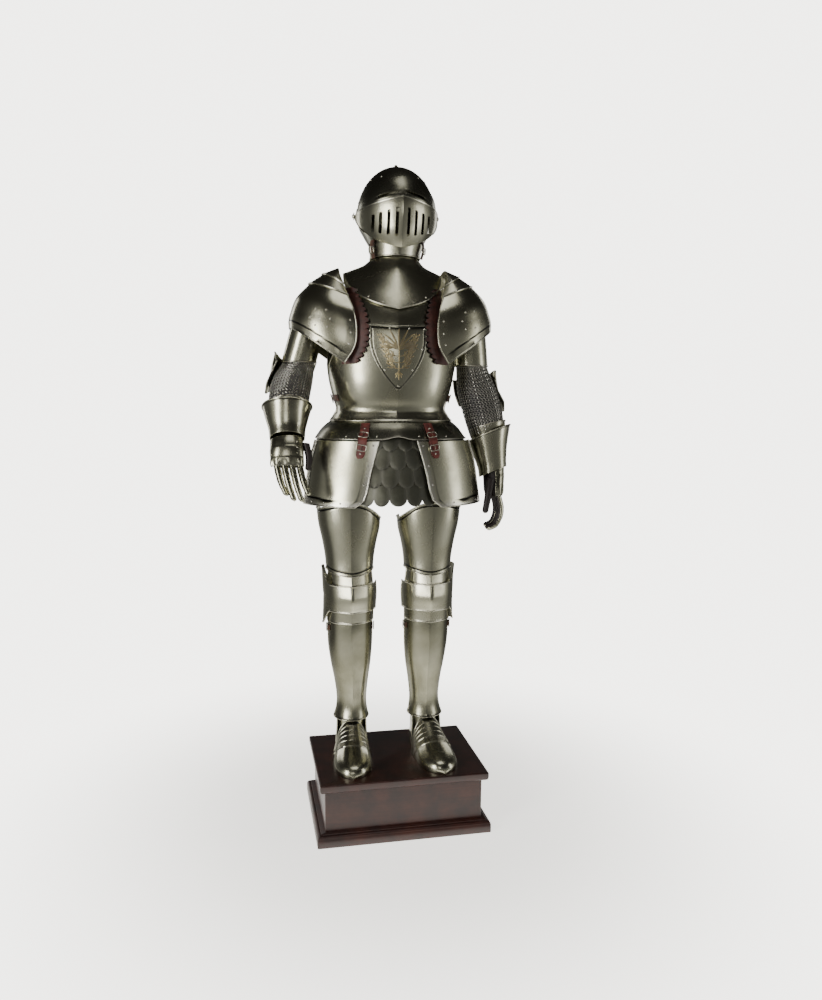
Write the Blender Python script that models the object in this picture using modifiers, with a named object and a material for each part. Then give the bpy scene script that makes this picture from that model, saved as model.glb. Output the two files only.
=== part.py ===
"""A hollow suit of plate armour that stands on a wooden plinth.

Metres, +Z up. The origin is the middle of the plinth's underside, and the suit faces -Y.
Every plate is a thin wall. Its outer face runs through sections, read from short tables.
"""
import math

import bmesh
import bpy
import numpy as np

# Walls and gaps
PLATE = 0.0016
LEATHER = 0.0020
MAIL = 0.0025
GAP = 0.0003

# Plinth: width, depth and thickness of each board, from the bottom up
BASE_SIZE = (0.536, 0.379, 0.039)
BOX_SIZE = (0.485, 0.329, 0.127)
TOP_SIZE = (0.518, 0.371, 0.027)
BOARD_EDGE = 0.009
SOLE = BASE_SIZE[2] + BOX_SIZE[2] + TOP_SIZE[2] + 3 * GAP

# The suit stands a little back on the plinth, turned slightly to its right hand
SUIT_PLACE = (-0.008, 0.060, 0.0)
SUIT_TURN = math.radians(-3.0)

# Helmet: the temple axis that the visor and ventail turn on, and the nested shells about it
TEMPLE = (0.0145, 0.0, 1.870)
SKULL_WIDE, SKULL_TALL, SKULL_BACK = 0.1180, 0.1430, 0.1480
VISOR_WIDE, VISOR_TALL = 0.1215, 0.1475
VENTAIL_WIDE, VENTAIL_TALL = 0.1255, 0.1530

VENTAIL_RIDGE = 0.009
FACE_OPENING = (0.150, 0.160, 0.150)
# Eye sights in the visor: length, height, distance out and up from the temple axis, and tilt
SIGHT = (0.0610, 0.0055, 0.0400, 0.0346, math.radians(11.0))
SLOT_WIDE = 0.0075
SLOT_TURN = math.radians(267.0)
CUTTER_DEEP = 0.0900
# Ventail slots: distance from the middle, top and bottom measured from the temple axis
VENTAIL_SLOTS = [
    (0.0170, -0.004, -0.081),
    (0.0400, -0.009, -0.076),
    (0.0620, -0.014, -0.070),
    (0.0820, -0.018, -0.064),
]

# Section tables. Each row is one ring, from the bottom up:
# x, y, z of its middle, half width, depth ahead, depth behind,
# squareness (2 is an ellipse), ridge ahead, rise per metre backwards, rise per metre to +X
RIDGE_REACH = 0.55

TRUNK = [
    (0.002, 0.0, 1.2600, 0.1900, 0.1420, 0.1220, 2.15, 0.003, 0.0, 0.0),
    (0.002, 0.0, 1.2790, 0.1770, 0.1350, 0.1100, 2.15, 0.004, 0.0, 0.0),
    (0.002, 0.0, 1.2980, 0.1690, 0.1320, 0.1040, 2.15, 0.005, 0.0, 0.0),
    (0.002, 0.0, 1.3330, 0.1790, 0.1450, 0.1110, 2.20, 0.006, 0.0, 0.0),
    (0.002, 0.0, 1.3900, 0.1920, 0.1580, 0.1220, 2.20, 0.006, 0.0, 0.0),
    (0.002, 0.0, 1.4500, 0.1970, 0.1620, 0.1310, 2.20, 0.006, 0.0, 0.0),
    (0.002, 0.0, 1.5200, 0.1930, 0.1580, 0.1370, 2.20, 0.005, 0.0, 0.0),
    (0.003, 0.0, 1.5800, 0.1780, 0.1430, 0.1340, 2.15, 0.004, 0.0, 0.0),
    (0.004, 0.0, 1.6350, 0.1500, 0.1150, 0.1180, 2.10, 0.002, 0.0, 0.0),
]
# Turns left open at the seams between fronts and backs
TRUNK_SEAM = math.radians(0.12)
FAULD_SEAM = math.radians(0.15)
GREAVE_SEAM = math.radians(1.2)
GORGET_SEAM = math.radians(0.4)
# Armholes: where the cut begins and ends, and the half angle above it, for the breast and the back
BREAST_ARMHOLE = (1.385, 1.530, math.radians(44.0))
BACK_ARMHOLE = (1.400, 1.560, math.radians(50.0))
# Shield plate on the breast: its point, its top, and half its width
SHIELD_LOW, SHIELD_HIGH, SHIELD_REACH = 1.352, 1.541, 0.082
FAULD = [
    (0.002, 0.0, 1.2060, 0.2360, 0.1690, 0.1500, 2.15, 0.003, 0.0, 0.0),
    (0.002, 0.0, 1.2380, 0.2120, 0.1540, 0.1360, 2.15, 0.003, 0.0, 0.0),
    (0.002, 0.0, 1.2620, 0.1840, 0.1370, 0.1170, 2.15, 0.003, 0.0, 0.0),
    (0.002, 0.0, 1.2850, 0.1690, 0.1290, 0.1030, 2.15, 0.003, 0.0, 0.0),
]
SKIRT = [
    (0.002, 0.0, 1.0040, 0.2680, 0.1760, 0.1800, 2.15, 0.0, 0.0, 0.0),
    (0.002, 0.0, 1.0700, 0.2600, 0.1700, 0.1720, 2.15, 0.0, 0.0, 0.0),
    (0.002, 0.0, 1.1400, 0.2500, 0.1640, 0.1620, 2.15, 0.0, 0.0, 0.0),
    (0.002, 0.0, 1.1950, 0.2340, 0.1560, 0.1500, 2.15, 0.0, 0.0, 0.0),
    (0.002, 0.0, 1.2320, 0.2080, 0.1450, 0.1300, 2.15, 0.0, 0.0, 0.0),
]
TASSET = [
    (0.002, 0.0, 1.0080, 0.2820, 0.1950, 0.1950, 2.15, 0.0, 0.0, 0.0),
    (0.002, 0.0, 1.0700, 0.2730, 0.1890, 0.1880, 2.15, 0.0, 0.0, 0.0),
    (0.002, 0.0, 1.1400, 0.2620, 0.1820, 0.1800, 2.15, 0.0, 0.0, 0.0),
    (0.002, 0.0, 1.2030, 0.2440, 0.1730, 0.1660, 2.15, 0.0, 0.0, 0.0),
]
TASSET_END = math.radians(77.0)
# Tasset straps: height, distance of their middle from the suit's middle, and lift off the plates
TASSET_STRAP = [
    (1.1530, 0.1130, 0.0005),
    (1.1800, 0.1080, 0.0005),
    (1.2035, 0.1030, 0.0020),
    (1.2080, 0.1020, 0.0070),
    (1.2300, 0.0960, 0.0030),
    (1.2560, 0.0900, 0.0030),
]
STRAP_HALF, STRAP_TIP = 0.0125, 0.0060
GORGET = [
    (0.004, 0.0, 1.6850, 0.1500, 0.1460, 0.1380, 2.0, 0.006, 0.60, 0.0),
    (0.006, 0.0, 1.7020, 0.1200, 0.1150, 0.1100, 2.0, 0.004, 0.40, 0.0),
    (0.009, 0.0, 1.7200, 0.0920, 0.0900, 0.0880, 2.0, 0.003, 0.15, 0.0),
    (0.012, 0.0, 1.7440, 0.0720, 0.0780, 0.0740, 2.0, 0.003, 0.00, 0.0),
]
# Pitch of the gorget's back as a share of its front's, so that it dips behind as well
GORGET_BACK = -0.9
COLLAR = [
    (0.012, 0.0, 1.7455, 0.0760, 0.0830, 0.0790, 2.0, 0.004, 0.0, 0.0),
    (0.013, 0.0, 1.7650, 0.0780, 0.0860, 0.0800, 2.0, 0.004, 0.0, 0.0),
    (0.014, 0.0, 1.7800, 0.0820, 0.0900, 0.0830, 2.0, 0.004, 0.0, 0.0),
]

# Leg sections, x measured outwards from the suit's middle, which stands a little to one side
LEG_SHIFT = -0.0035
ANKLE_OUT = 0.1200
GREAVE = [
    (0.1205, 0.000, 0.3070, 0.0560, 0.0570, 0.0560, 2.0, 0.002, 0.0, 0.0),
    (0.1195, 0.002, 0.3350, 0.0485, 0.0500, 0.0520, 2.0, 0.003, 0.0, 0.0),
    (0.1190, 0.003, 0.3700, 0.0460, 0.0480, 0.0520, 2.0, 0.004, 0.0, 0.0),
    (0.1195, 0.005, 0.4250, 0.0520, 0.0530, 0.0620, 2.0, 0.005, 0.0, 0.0),
    (0.1210, 0.006, 0.4850, 0.0620, 0.0600, 0.0720, 2.0, 0.006, 0.0, 0.0),
    (0.1230, 0.004, 0.5500, 0.0690, 0.0640, 0.0740, 2.0, 0.006, 0.0, 0.0),
    (0.1235, 0.000, 0.6100, 0.0700, 0.0660, 0.0660, 2.0, 0.005, 0.0, 0.0),
    (0.1235, 0.000, 0.6500, 0.0690, 0.0660, 0.0600, 2.0, 0.004, 0.0, 0.0),
]
KNEE = [
    (0.1235, 0.000, 0.6600, 0.0770, 0.0800, 0.0700, 2.0, 0.006, 0.0, 0.0),
    (0.1235, 0.000, 0.6800, 0.0780, 0.0860, 0.0720, 2.0, 0.007, 0.0, 0.0),
    (0.1235, 0.000, 0.7150, 0.0800, 0.0920, 0.0720, 2.0, 0.008, 0.0, 0.0),
    (0.1240, 0.000, 0.7500, 0.0790, 0.0860, 0.0720, 2.0, 0.007, 0.0, 0.0),
    (0.1245, 0.000, 0.7600, 0.0780, 0.0840, 0.0720, 2.0, 0.006, 0.0, 0.0),
]
# Cop: its middle height, half its height, what its wing adds, and its two ends round the knee
COP_MIDDLE, COP_HALF, COP_WING = 0.7110, 0.0440, 0.0480
COP_INNER, COP_OUTER = math.radians(86.0), math.radians(134.0)
COP_LIFT = 0.0035
KNEE_LAME_HALF = math.radians(84.0)
KNEE_LAME_LOW = [
    (0.1235, 0.000, 0.6280, 0.0730, 0.0725, 0.0700, 2.0, 0.005, 0.0, 0.0),
    (0.1235, 0.000, 0.6760, 0.0735, 0.0775, 0.0700, 2.0, 0.005, 0.0, 0.0),
]
KNEE_LAME_HIGH = [
    (0.1240, 0.000, 0.7480, 0.0725, 0.0780, 0.0700, 2.0, 0.006, 0.0, 0.0),
    (0.1245, 0.000, 0.7980, 0.0680, 0.0705, 0.0700, 2.0, 0.005, 0.0, 0.0),
]
CUISSE_HALF = math.radians(122.0)
CUISSE_DIP_INNER, CUISSE_DIP_OUTER = 0.055, 0.022
CUISSE = [
    (0.1245, 0.000, 0.7790, 0.0745, 0.0775, 0.0760, 2.05, 0.004, 0.0, 0.0),
    (0.1250, 0.000, 0.8300, 0.0780, 0.0790, 0.0810, 2.05, 0.005, 0.0, 0.0),
    (0.1255, 0.000, 0.8900, 0.0860, 0.0860, 0.0880, 2.10, 0.005, 0.0, 0.0),
    (0.1265, 0.000, 0.9500, 0.0960, 0.0920, 0.0950, 2.15, 0.005, 0.0, 0.0),
    (0.1275, 0.000, 1.0130, 0.1010, 0.0960, 0.0980, 2.20, 0.004, 0.0, 0.0),
]
# Hanger strap: from inside the cuisse's rim up inside the fauld
HANGER = [
    (0.1240, 0.000, 0.9500, 0.0900, 0.0880, 0.0900, 2.0, 0.0, 0.0, 0.0),
    (0.1150, 0.000, 1.0300, 0.0900, 0.0920, 0.0900, 2.0, 0.0, 0.0, 0.0),
    (0.0900, 0.000, 1.1500, 0.0900, 0.1060, 0.0900, 2.0, 0.0, 0.0, 0.0),
    (0.0750, 0.000, 1.2750, 0.0900, 0.1080, 0.0900, 2.0, 0.0, 0.0, 0.0),
]
HEEL = [
    (0.1200, -0.034, 0.1942, 0.0490, 0.0300, 0.1000, 2.3, 0.0, 0.0, 0.0),
    (0.1200, -0.034, 0.2350, 0.0500, 0.0300, 0.0980, 2.3, 0.0, 0.0, 0.0),
    (0.1200, -0.030, 0.2700, 0.0470, 0.0300, 0.0840, 2.2, 0.0, 0.0, 0.0),
    (0.1200, -0.026, 0.3040, 0.0460, 0.0300, 0.0760, 2.1, 0.0, 0.0, 0.0),
]
# Foot: place ahead of the ankle, half width, height, and how far the arch of a lame bows ahead
FOOT = [
    (0.0360, 0.0490, 0.1080, 0.004),
    (0.0430, 0.0510, 0.0980, 0.012),
    (0.0510, 0.0535, 0.0890, 0.019),
    (0.0600, 0.0560, 0.0800, 0.026),
    (0.0730, 0.0590, 0.0710, 0.031),
    (0.0900, 0.0610, 0.0640, 0.034),
]
TOE = [
    (0.0912, 0.0610, 0.0635, 0.034),
    (0.1280, 0.0620, 0.0530, 0.030),
    (0.1680, 0.0570, 0.0420, 0.022),
    (0.1970, 0.0450, 0.0320, 0.014),
    (0.2165, 0.0270, 0.0190, 0.007),
    (0.2262, 0.0050, 0.0050, 0.001),
]
FOOT_STEP = np.array([0.0, 0.0018, 0.0020, 0.0])
TOE_OUT = {-1: math.radians(3.0), 1: math.radians(7.0)}

# Arm sections in the suit's own x, one table a side, because the two arms hang differently
UPPER_ARM = {
    -1: [
        (-0.2820, 0.004, 1.4350, 0.0530, 0.0540, 0.0540, 2.0, 0.0, 0.0, 0.0),
        (-0.2620, 0.002, 1.5050, 0.0530, 0.0560, 0.0560, 2.0, 0.0, 0.0, 0.0),
        (-0.2400, 0.000, 1.5850, 0.0520, 0.0580, 0.0580, 2.0, 0.0, 0.0, 0.0),
    ],
    1: [
        (0.2560, 0.004, 1.4280, 0.0530, 0.0540, 0.0540, 2.0, 0.0, 0.0, 0.0),
        (0.2480, 0.002, 1.5000, 0.0540, 0.0560, 0.0560, 2.0, 0.0, 0.0, 0.0),
        (0.2380, 0.000, 1.5850, 0.0530, 0.0580, 0.0580, 2.0, 0.0, 0.0, 0.0),
    ],
}
MAIL_SLEEVE = {
    -1: [
        (-0.3160, -0.050, 1.2900, 0.0540, 0.0500, 0.0500, 2.0, 0.0, -0.55, 0.0),
        (-0.3110, -0.030, 1.3350, 0.0590, 0.0560, 0.0540, 2.0, 0.0, -0.45, 0.0),
        (-0.3000, -0.008, 1.3850, 0.0580, 0.0570, 0.0560, 2.0, 0.0, -0.20, 0.0),
        (-0.2850, 0.002, 1.4280, 0.0465, 0.0475, 0.0475, 2.0, 0.0, 0.0, 0.0),
        (-0.2780, 0.003, 1.4600, 0.0450, 0.0460, 0.0460, 2.0, 0.0, 0.0, 0.0),
    ],
    1: [
        (0.3140, 0.008, 1.2200, 0.0500, 0.0500, 0.0500, 2.0, 0.0, -0.20, 0.25),
        (0.3000, 0.006, 1.2750, 0.0570, 0.0560, 0.0560, 2.0, 0.0, -0.15, 0.15),
        (0.2780, 0.006, 1.3500, 0.0600, 0.0590, 0.0570, 2.0, 0.0, -0.05, 0.0),
        (0.2600, 0.004, 1.4180, 0.0470, 0.0480, 0.0480, 2.0, 0.0, 0.0, 0.0),
        (0.2550, 0.003, 1.4520, 0.0455, 0.0465, 0.0465, 2.0, 0.0, 0.0, 0.0),
    ],
}
ELBOW = {
    -1: [
        (-0.3120, -0.004, 1.3600, 0.0650, 0.0620, 0.0640, 2.0, 0.0, -0.20, 0.0),
        (-0.3020, 0.006, 1.4050, 0.0660, 0.0620, 0.0720, 2.0, 0.0, -0.10, 0.0),
        (-0.2850, 0.008, 1.4500, 0.0610, 0.0600, 0.0640, 2.0, 0.0, 0.0, 0.0),
    ],
    1: [
        (0.2920, 0.012, 1.3000, 0.0680, 0.0640, 0.0640, 2.0, 0.0, -0.10, 0.10),
        (0.2790, 0.016, 1.3500, 0.0690, 0.0650, 0.0730, 2.0, 0.0, -0.05, 0.05),
        (0.2660, 0.012, 1.4000, 0.0630, 0.0620, 0.0640, 2.0, 0.0, 0.0, 0.0),
    ],
}
# Elbow cop: its two ends round the arm
COUTER_FROM, COUTER_TO = math.radians(62.0), math.radians(255.0)
CUFF = {
    -1: [
        (-0.3200, -0.104, 1.2080, 0.0520, 0.0400, 0.0380, 2.1, 0.0, -0.60, 0.0),
        (-0.3200, -0.090, 1.2350, 0.0550, 0.0440, 0.0430, 2.1, 0.0, -0.60, 0.0),
        (-0.3200, -0.070, 1.2700, 0.0650, 0.0580, 0.0580, 2.0, 0.0, -0.55, 0.0),
        (-0.3190, -0.052, 1.3020, 0.0750, 0.0700, 0.0700, 2.0, 0.0, -0.45, 0.0),
    ],
    1: [
        (0.3300, -0.010, 1.0980, 0.0430, 0.0430, 0.0430, 2.1, 0.0, -0.20, 0.38),
        (0.3280, -0.006, 1.1280, 0.0450, 0.0460, 0.0460, 2.1, 0.0, -0.20, 0.38),
        (0.3240, 0.002, 1.1700, 0.0540, 0.0550, 0.0550, 2.0, 0.0, -0.20, 0.38),
        (0.3210, 0.010, 1.2220, 0.0670, 0.0660, 0.0660, 2.0, 0.0, -0.20, 0.38),
    ],
}
HAND = {
    -1: [
        (-0.2840, -0.186, 1.0320, 0.0240, 0.0160, 0.0180, 2.2, 0.0, -0.30, 0.0),
        (-0.2960, -0.178, 1.0580, 0.0400, 0.0220, 0.0260, 2.3, 0.0, -0.35, 0.0),
        (-0.3100, -0.160, 1.1020, 0.0470, 0.0260, 0.0300, 2.3, 0.0, -0.45, 0.0),
        (-0.3180, -0.136, 1.1500, 0.0500, 0.0280, 0.0310, 2.2, 0.0, -0.50, 0.0),
        (-0.3200, -0.108, 1.2000, 0.0480, 0.0330, 0.0330, 2.1, 0.0, -0.60, 0.0),
    ],
    1: [
        (0.3180, -0.036, 0.9180, 0.0170, 0.0240, 0.0240, 2.2, 0.0, -0.10, 0.10),
        (0.3190, -0.036, 0.9420, 0.0300, 0.0340, 0.0340, 2.3, 0.0, -0.10, 0.20),
        (0.3230, -0.032, 0.9850, 0.0370, 0.0400, 0.0400, 2.3, 0.0, -0.15, 0.30),
        (0.3290, -0.022, 1.0400, 0.0380, 0.0420, 0.0420, 2.2, 0.0, -0.20, 0.40),
        (0.3300, -0.014, 1.0800, 0.0350, 0.0365, 0.0365, 2.1, 0.0, -0.20, 0.38),
        (0.3305, -0.008, 1.1120, 0.0330, 0.0345, 0.0345, 2.1, 0.0, -0.20, 0.38),
    ],
}
# Middle of the hand plates round the hand, and half the angle that they cover
HAND_FACE = {-1: math.radians(-35.0), 1: math.radians(95.0)}
HAND_COVER = math.radians(88.0)

# Shoulder: crest x and z over the arm, then the front end x, y and z, from the neck outwards
SHOULDER = [
    (0.1600, 1.7120, 0.1630, 0.0560, 1.6930),
    (0.2080, 1.6930, 0.1520, 0.0860, 1.6580),
    (0.2500, 1.6660, 0.1400, 0.1120, 1.6250),
    (0.2880, 1.6260, 0.1230, 0.1400, 1.5750),
    (0.3060, 1.5820, 0.1170, 0.1520, 1.5250),
    (0.3120, 1.5560, 0.1230, 0.1560, 1.4750),
    (0.3090, 1.5360, 0.1520, 0.1490, 1.4270),
]
SHOULDER_STEP = 0.0026
TRUNK_ROWS = 10
SCALLOP = 0.018
EDGING_WIDE = 0.034
EDGING_LIFT = 0.0090

SCALES_ROUND = 31
SCALE_ROWS = 4
SCALE_DEPTH = 0.012
SCALE_LAP = 0.0030

COLOURS = {
    "bright_steel": ((0.50, 0.50, 0.47), 1.0, 0.30),
    "dark_steel": ((0.25, 0.25, 0.24), 1.0, 0.38),
    "mail": ((0.30, 0.30, 0.29), 1.0, 0.45),
    "red_leather": ((0.20, 0.035, 0.025), 0.0, 0.60),
    "brown_leather": ((0.10, 0.045, 0.025), 0.0, 0.60),
    "black_leather": ((0.015, 0.014, 0.014), 0.0, 0.55),
    "etched_brass": ((0.45, 0.32, 0.12), 1.0, 0.38),
    "mahogany": ((0.085, 0.025, 0.014), 0.0, 0.35),
}


def clear_scene():
    """Remove whatever the file holds, so that the model starts alone."""
    for item in list(bpy.data.objects):
        bpy.data.objects.remove(item, do_unlink=True)


def make_collection(name):
    """A collection in the scene, for the parts or for the cutters."""
    found = bpy.data.collections.new(name)
    bpy.context.scene.collection.children.link(found)
    return found


def material_for(name, finish):
    """A Principled material of a named finish, one for each object."""
    colour, metallic, roughness = COLOURS[finish]
    made = bpy.data.materials.new(name + "_" + finish)
    made.use_nodes = True
    shader = made.node_tree.nodes["Principled BSDF"]
    shader.inputs["Base Color"].default_value = (*colour, 1.0)
    shader.inputs["Metallic"].default_value = metallic
    shader.inputs["Roughness"].default_value = roughness
    return made


def through(rows, count):
    """A smooth curve through the rows of a table (cubic Hermite), read at evenly spaced places."""
    rows = np.asarray(rows, float)
    place = np.linspace(0.0, len(rows) - 1.0, count)
    left = np.clip(place.astype(int), 0, len(rows) - 2)
    t = (place - left)[:, None]
    slope = np.gradient(rows, axis=0)
    start = (2 * t**3 - 3 * t**2 + 1) * rows[left] + (t**3 - 2 * t**2 + t) * slope[left]
    end = (3 * t**2 - 2 * t**3) * rows[left + 1] + (t**3 - t**2) * slope[left + 1]
    return start + end


def section(table, turns, grow=0.0):
    """Rings of a table. x = middle + width * sin, y = middle - depth * cos, each to the power
    2 / squareness, with a ridge that dies away from the front. Turns are radians from the front,
    towards +X. Grow moves the whole face outwards."""
    mid_x, mid_y, mid_z, wide, ahead, behind, square, ridge, pitch, roll = (
        column[:, None] for column in np.asarray(table, float).T)
    sine, cosine = np.sin(turns), np.cos(turns)
    power = 2.0 / square
    depth = np.where(cosine > 0, ahead, behind) + grow
    across = (wide + grow) * np.sign(sine) * np.abs(sine) ** power
    forward = depth * np.sign(cosine) * np.abs(cosine) ** power
    forward = forward + ridge * np.clip(1 - np.abs(turns) / RIDGE_REACH, 0, None) ** 1.6
    height = mid_z - pitch * forward + roll * across
    return np.stack([mid_x + across, mid_y - forward, height], axis=-1)


def spread(start, end, count, rows):
    """Turns for each row of a grid. Start and end are one angle, or one for each row."""
    share = np.linspace(0.0, 1.0, count)[None, :]
    first = np.broadcast_to(np.asarray(start, float), (rows,))[:, None]
    last = np.broadcast_to(np.asarray(end, float), (rows,))[:, None]
    return first + (last - first) * share


def step(value, start, end):
    """Smooth rise from 0 to 1 between two values."""
    t = np.clip((value - start) / (end - start), 0.0, 1.0)
    return t * t * (3 - 2 * t)


class Suit:
    """Holds the collections and the empties that the pieces hang on."""

    def __init__(self):
        clear_scene()
        self.parts = make_collection("plate_armour")
        self.cutters = make_collection("cutters")
        self.stand = self.empty("suit_stand", None, SUIT_PLACE, SUIT_TURN)
        self.temple = self.empty("temple_axis", self.stand, TEMPLE, 0.0)

    def empty(self, name, parent, place, turn):
        """An empty that carries pieces."""
        made = bpy.data.objects.new(name, None)
        made.empty_display_size = 0.1
        made.parent = parent
        made.location = place
        made.rotation_euler = (0.0, 0.0, turn)
        self.parts.objects.link(made)
        return made

    def add(self, name, mesh, finish, parent, collection=None):
        """Links a mesh as a named object with its own material."""
        made = bpy.data.objects.new(name, mesh)
        (collection or self.parts).objects.link(made)
        made.parent = parent
        mesh.materials.append(material_for(name, finish))
        return made

    def wall(self, name, grid, finish, thick=PLATE, ring=False, cap=None, parent=None):
        """A grid of points (rows upwards, columns towards +X) as an open face with a wall inwards.
        Ring joins the last column to the first, and cap closes the "top" or "bottom" row on one point."""
        rows, columns = grid.shape[:2]
        index = np.arange(rows * columns).reshape(rows, columns)
        if ring:
            index = np.concatenate([index, index[:, :1]], axis=1)
        corners = [index[:-1, :-1], index[:-1, 1:], index[1:, 1:], index[1:, :-1]]
        faces = np.stack(corners, axis=-1).reshape(-1, 4).tolist()
        points = grid.reshape(-1, 3).tolist()
        if cap:
            edge = index[-1] if cap == "top" else index[0][::-1]
            points.append(grid[-1 if cap == "top" else 0].mean(axis=0).tolist())
            faces += [(int(a), int(b), len(points) - 1) for a, b in zip(edge[:-1], edge[1:])]
        mesh = bpy.data.meshes.new(name)
        mesh.from_pydata(points, [], faces)
        mesh.shade_smooth()
        made = self.add(name, mesh, finish, parent or self.stand)
        solidify = made.modifiers.new("wall", "SOLIDIFY")
        solidify.thickness = thick
        solidify.offset = -1.0
        return made

    def box(self, name, size, place, finish=None, edge=0.0, parent=None, turn=(0, 0, 0)):
        """A box from the cube primitive, with bevelled edges. With no finish it is a cutter."""
        mesh = bpy.data.meshes.new(name)
        build = bmesh.new()
        bmesh.ops.create_cube(build, size=1.0)
        bmesh.ops.scale(build, vec=size, verts=build.verts)
        build.to_mesh(mesh)
        build.free()
        if finish:
            made = self.add(name, mesh, finish, parent)
        else:
            made = bpy.data.objects.new(name, mesh)
            made.parent = parent
            made.hide_render = True
            made.display_type = "WIRE"
            self.cutters.objects.link(made)
        made.location = place
        made.rotation_euler = turn
        if edge:
            bevel = made.modifiers.new("edge", "BEVEL")
            bevel.width = edge
            bevel.segments = 2
        return made

    def cut(self, target, cutter):
        """Takes a cutter out of a piece."""
        boolean = target.modifiers.new("cut", "BOOLEAN")
        boolean.operation = "DIFFERENCE"
        boolean.object = cutter


def build_plinth(suit):
    """Three boards and a box, one on the other, with softened edges."""
    floor = 0.0
    boards = [("plinth_base", BASE_SIZE, BOARD_EDGE), ("plinth_box", BOX_SIZE, 0.0015),
              ("plinth_top", TOP_SIZE, BOARD_EDGE)]
    for name, size, edge in boards:
        board = suit.box(name, size, (0.0, 0.0, floor + size[2] / 2), "mahogany")
        if edge > 0.005:
            shape_board_edge(board, size, edge, upper=name == "plinth_base")
        floor += size[2] + GAP


def shape_board_edge(board, size, edge, upper):
    """Rounds the upper rim of the base board or the lower rim of the top board."""
    build = bmesh.new()
    build.from_mesh(board.data)
    level = size[2] / 2 if upper else -size[2] / 2
    rim = [e for e in build.edges if all(abs(v.co.z - level) < 1e-6 for v in e.verts)]
    bmesh.ops.bevel(build, geom=rim, offset=edge, segments=3, profile=0.5, affect="EDGES")
    build.to_mesh(board.data)
    build.free()


def out_from_middle(table, side):
    """A leg table with its x on one side of the suit."""
    placed = np.array(table, float)
    placed[:, 0] = placed[:, 0] * side + LEG_SHIFT
    placed[:, 9] = placed[:, 9] * side
    return placed


def swing(points, side):
    """Turns a foot outwards about its ankle."""
    ankle = np.array([ANKLE_OUT * side + LEG_SHIFT, 0.0, 0.0])
    angle = TOE_OUT[side] * side
    turn = np.array([[math.cos(angle), -math.sin(angle), 0.0],
                     [math.sin(angle), math.cos(angle), 0.0], [0.0, 0.0, 1.0]])
    return (points - ankle) @ turn.T + ankle


def foot_arch(rows, side, columns=11):
    """Arches over the foot. x = width * sin, height = height * cos to the power 0.8,
    each arch bowed ahead in its middle. Rows run from the toe to the ankle."""
    ahead, wide, high, bow = (column[:, None] for column in rows.T)
    turns = np.linspace(-math.pi / 2, math.pi / 2, columns)[None, :]
    across = wide * np.sign(np.sin(turns)) * np.abs(np.sin(turns)) ** 0.9
    lift = SOLE + GAP + high * np.abs(np.cos(turns)) ** 0.8
    forward = ahead + bow * np.cos(turns)
    return np.stack([ANKLE_OUT * side + LEG_SHIFT + across, -forward, lift], axis=-1)


def build_foot(suit, side, tag):
    """Toe cap, five overlapping lames in one stepped wall, and the heel plate."""
    foot = np.array(FOOT)
    stepped = []
    for low, high in zip(foot[:0:-1], foot[-2::-1]):
        stepped += [low, high + FOOT_STEP]
    lames = foot_arch(np.array(stepped), side)
    suit.wall("sabaton_lames" + tag, swing(lames, side), "bright_steel")

    toe = np.array(TOE)[::-1]
    suit.wall("sabaton_toe" + tag, swing(foot_arch(toe, side), side), "bright_steel")

    heel = through(out_from_middle(HEEL, side), 4)
    turns = spread(math.radians(92), math.radians(268), 11, 4)
    suit.wall("sabaton_heel" + tag, swing(section(heel, turns), side), "bright_steel")


def build_lower_leg(suit, side, tag):
    """A front and a back greave that meet at the sides, over the ankle."""
    rows = 8
    rings = through(out_from_middle(GREAVE, side), rows)
    seam = GREAVE_SEAM
    front = section(rings, spread(-math.pi / 2 + seam, math.pi / 2 - seam, 11, rows))
    back = section(rings, spread(math.pi / 2 + seam, 1.5 * math.pi - seam, 9, rows))
    suit.wall("greave_front" + tag, front, "bright_steel")
    suit.wall("greave_back" + tag, back, "bright_steel")


def knee_height(side, turns, middle, half, wing):
    """Heights of a cop: even bands that open into a fan on the outer side, rounded at its end."""
    outward = turns * side
    fan = step(outward, math.radians(55), math.radians(88))
    end = step(outward, math.radians(112), math.radians(134))
    return middle, half + wing * fan - (half + wing) * 0.45 * end


def build_knee(suit, side, tag):
    """Cop with a fan-shaped wing, and a lame above and below it."""
    rings = out_from_middle(KNEE, side)
    low = out_from_middle(KNEE_LAME_LOW, side)
    turns = spread(-KNEE_LAME_HALF, KNEE_LAME_HALF, 13, 2)
    suit.wall("knee_lame_low" + tag, section(low, turns), "bright_steel")

    high = out_from_middle(KNEE_LAME_HIGH, side)
    suit.wall("knee_lame_high" + tag, section(high, turns), "bright_steel")

    rows, columns = 5, 17
    start, end = (-COP_INNER, COP_OUTER) if side > 0 else (-COP_OUTER, COP_INNER)
    turns = spread(start, end, columns, rows)
    middle, half = knee_height(side, turns, COP_MIDDLE, COP_HALF, COP_WING)
    share = np.linspace(-1.0, 1.0, rows)[:, None]
    heights = middle + half * share
    cop = np.zeros((rows, columns, 3))
    for row in range(rows):
        for column in range(columns):
            ring = read_at(rings, np.clip(heights[row, column], 0.668, 0.752))
            cop[row, column] = section(ring[None, :], turns[row:row + 1, column:column + 1], COP_LIFT)[0, 0]
    fan = step(turns * side, math.radians(60), math.radians(95))
    cop[..., 0] += side * fan * (0.0065 - 0.0050 * (1 - np.abs(share)) ** 2)
    cop[..., 2] = heights
    suit.wall("poleyn" + tag, cop, "bright_steel")


def read_at(rings, height):
    """One ring of a table at a height, each column read along its z."""
    return np.array([np.interp(height, rings[:, 2], rings[:, k]) for k in range(rings.shape[1])])


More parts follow.
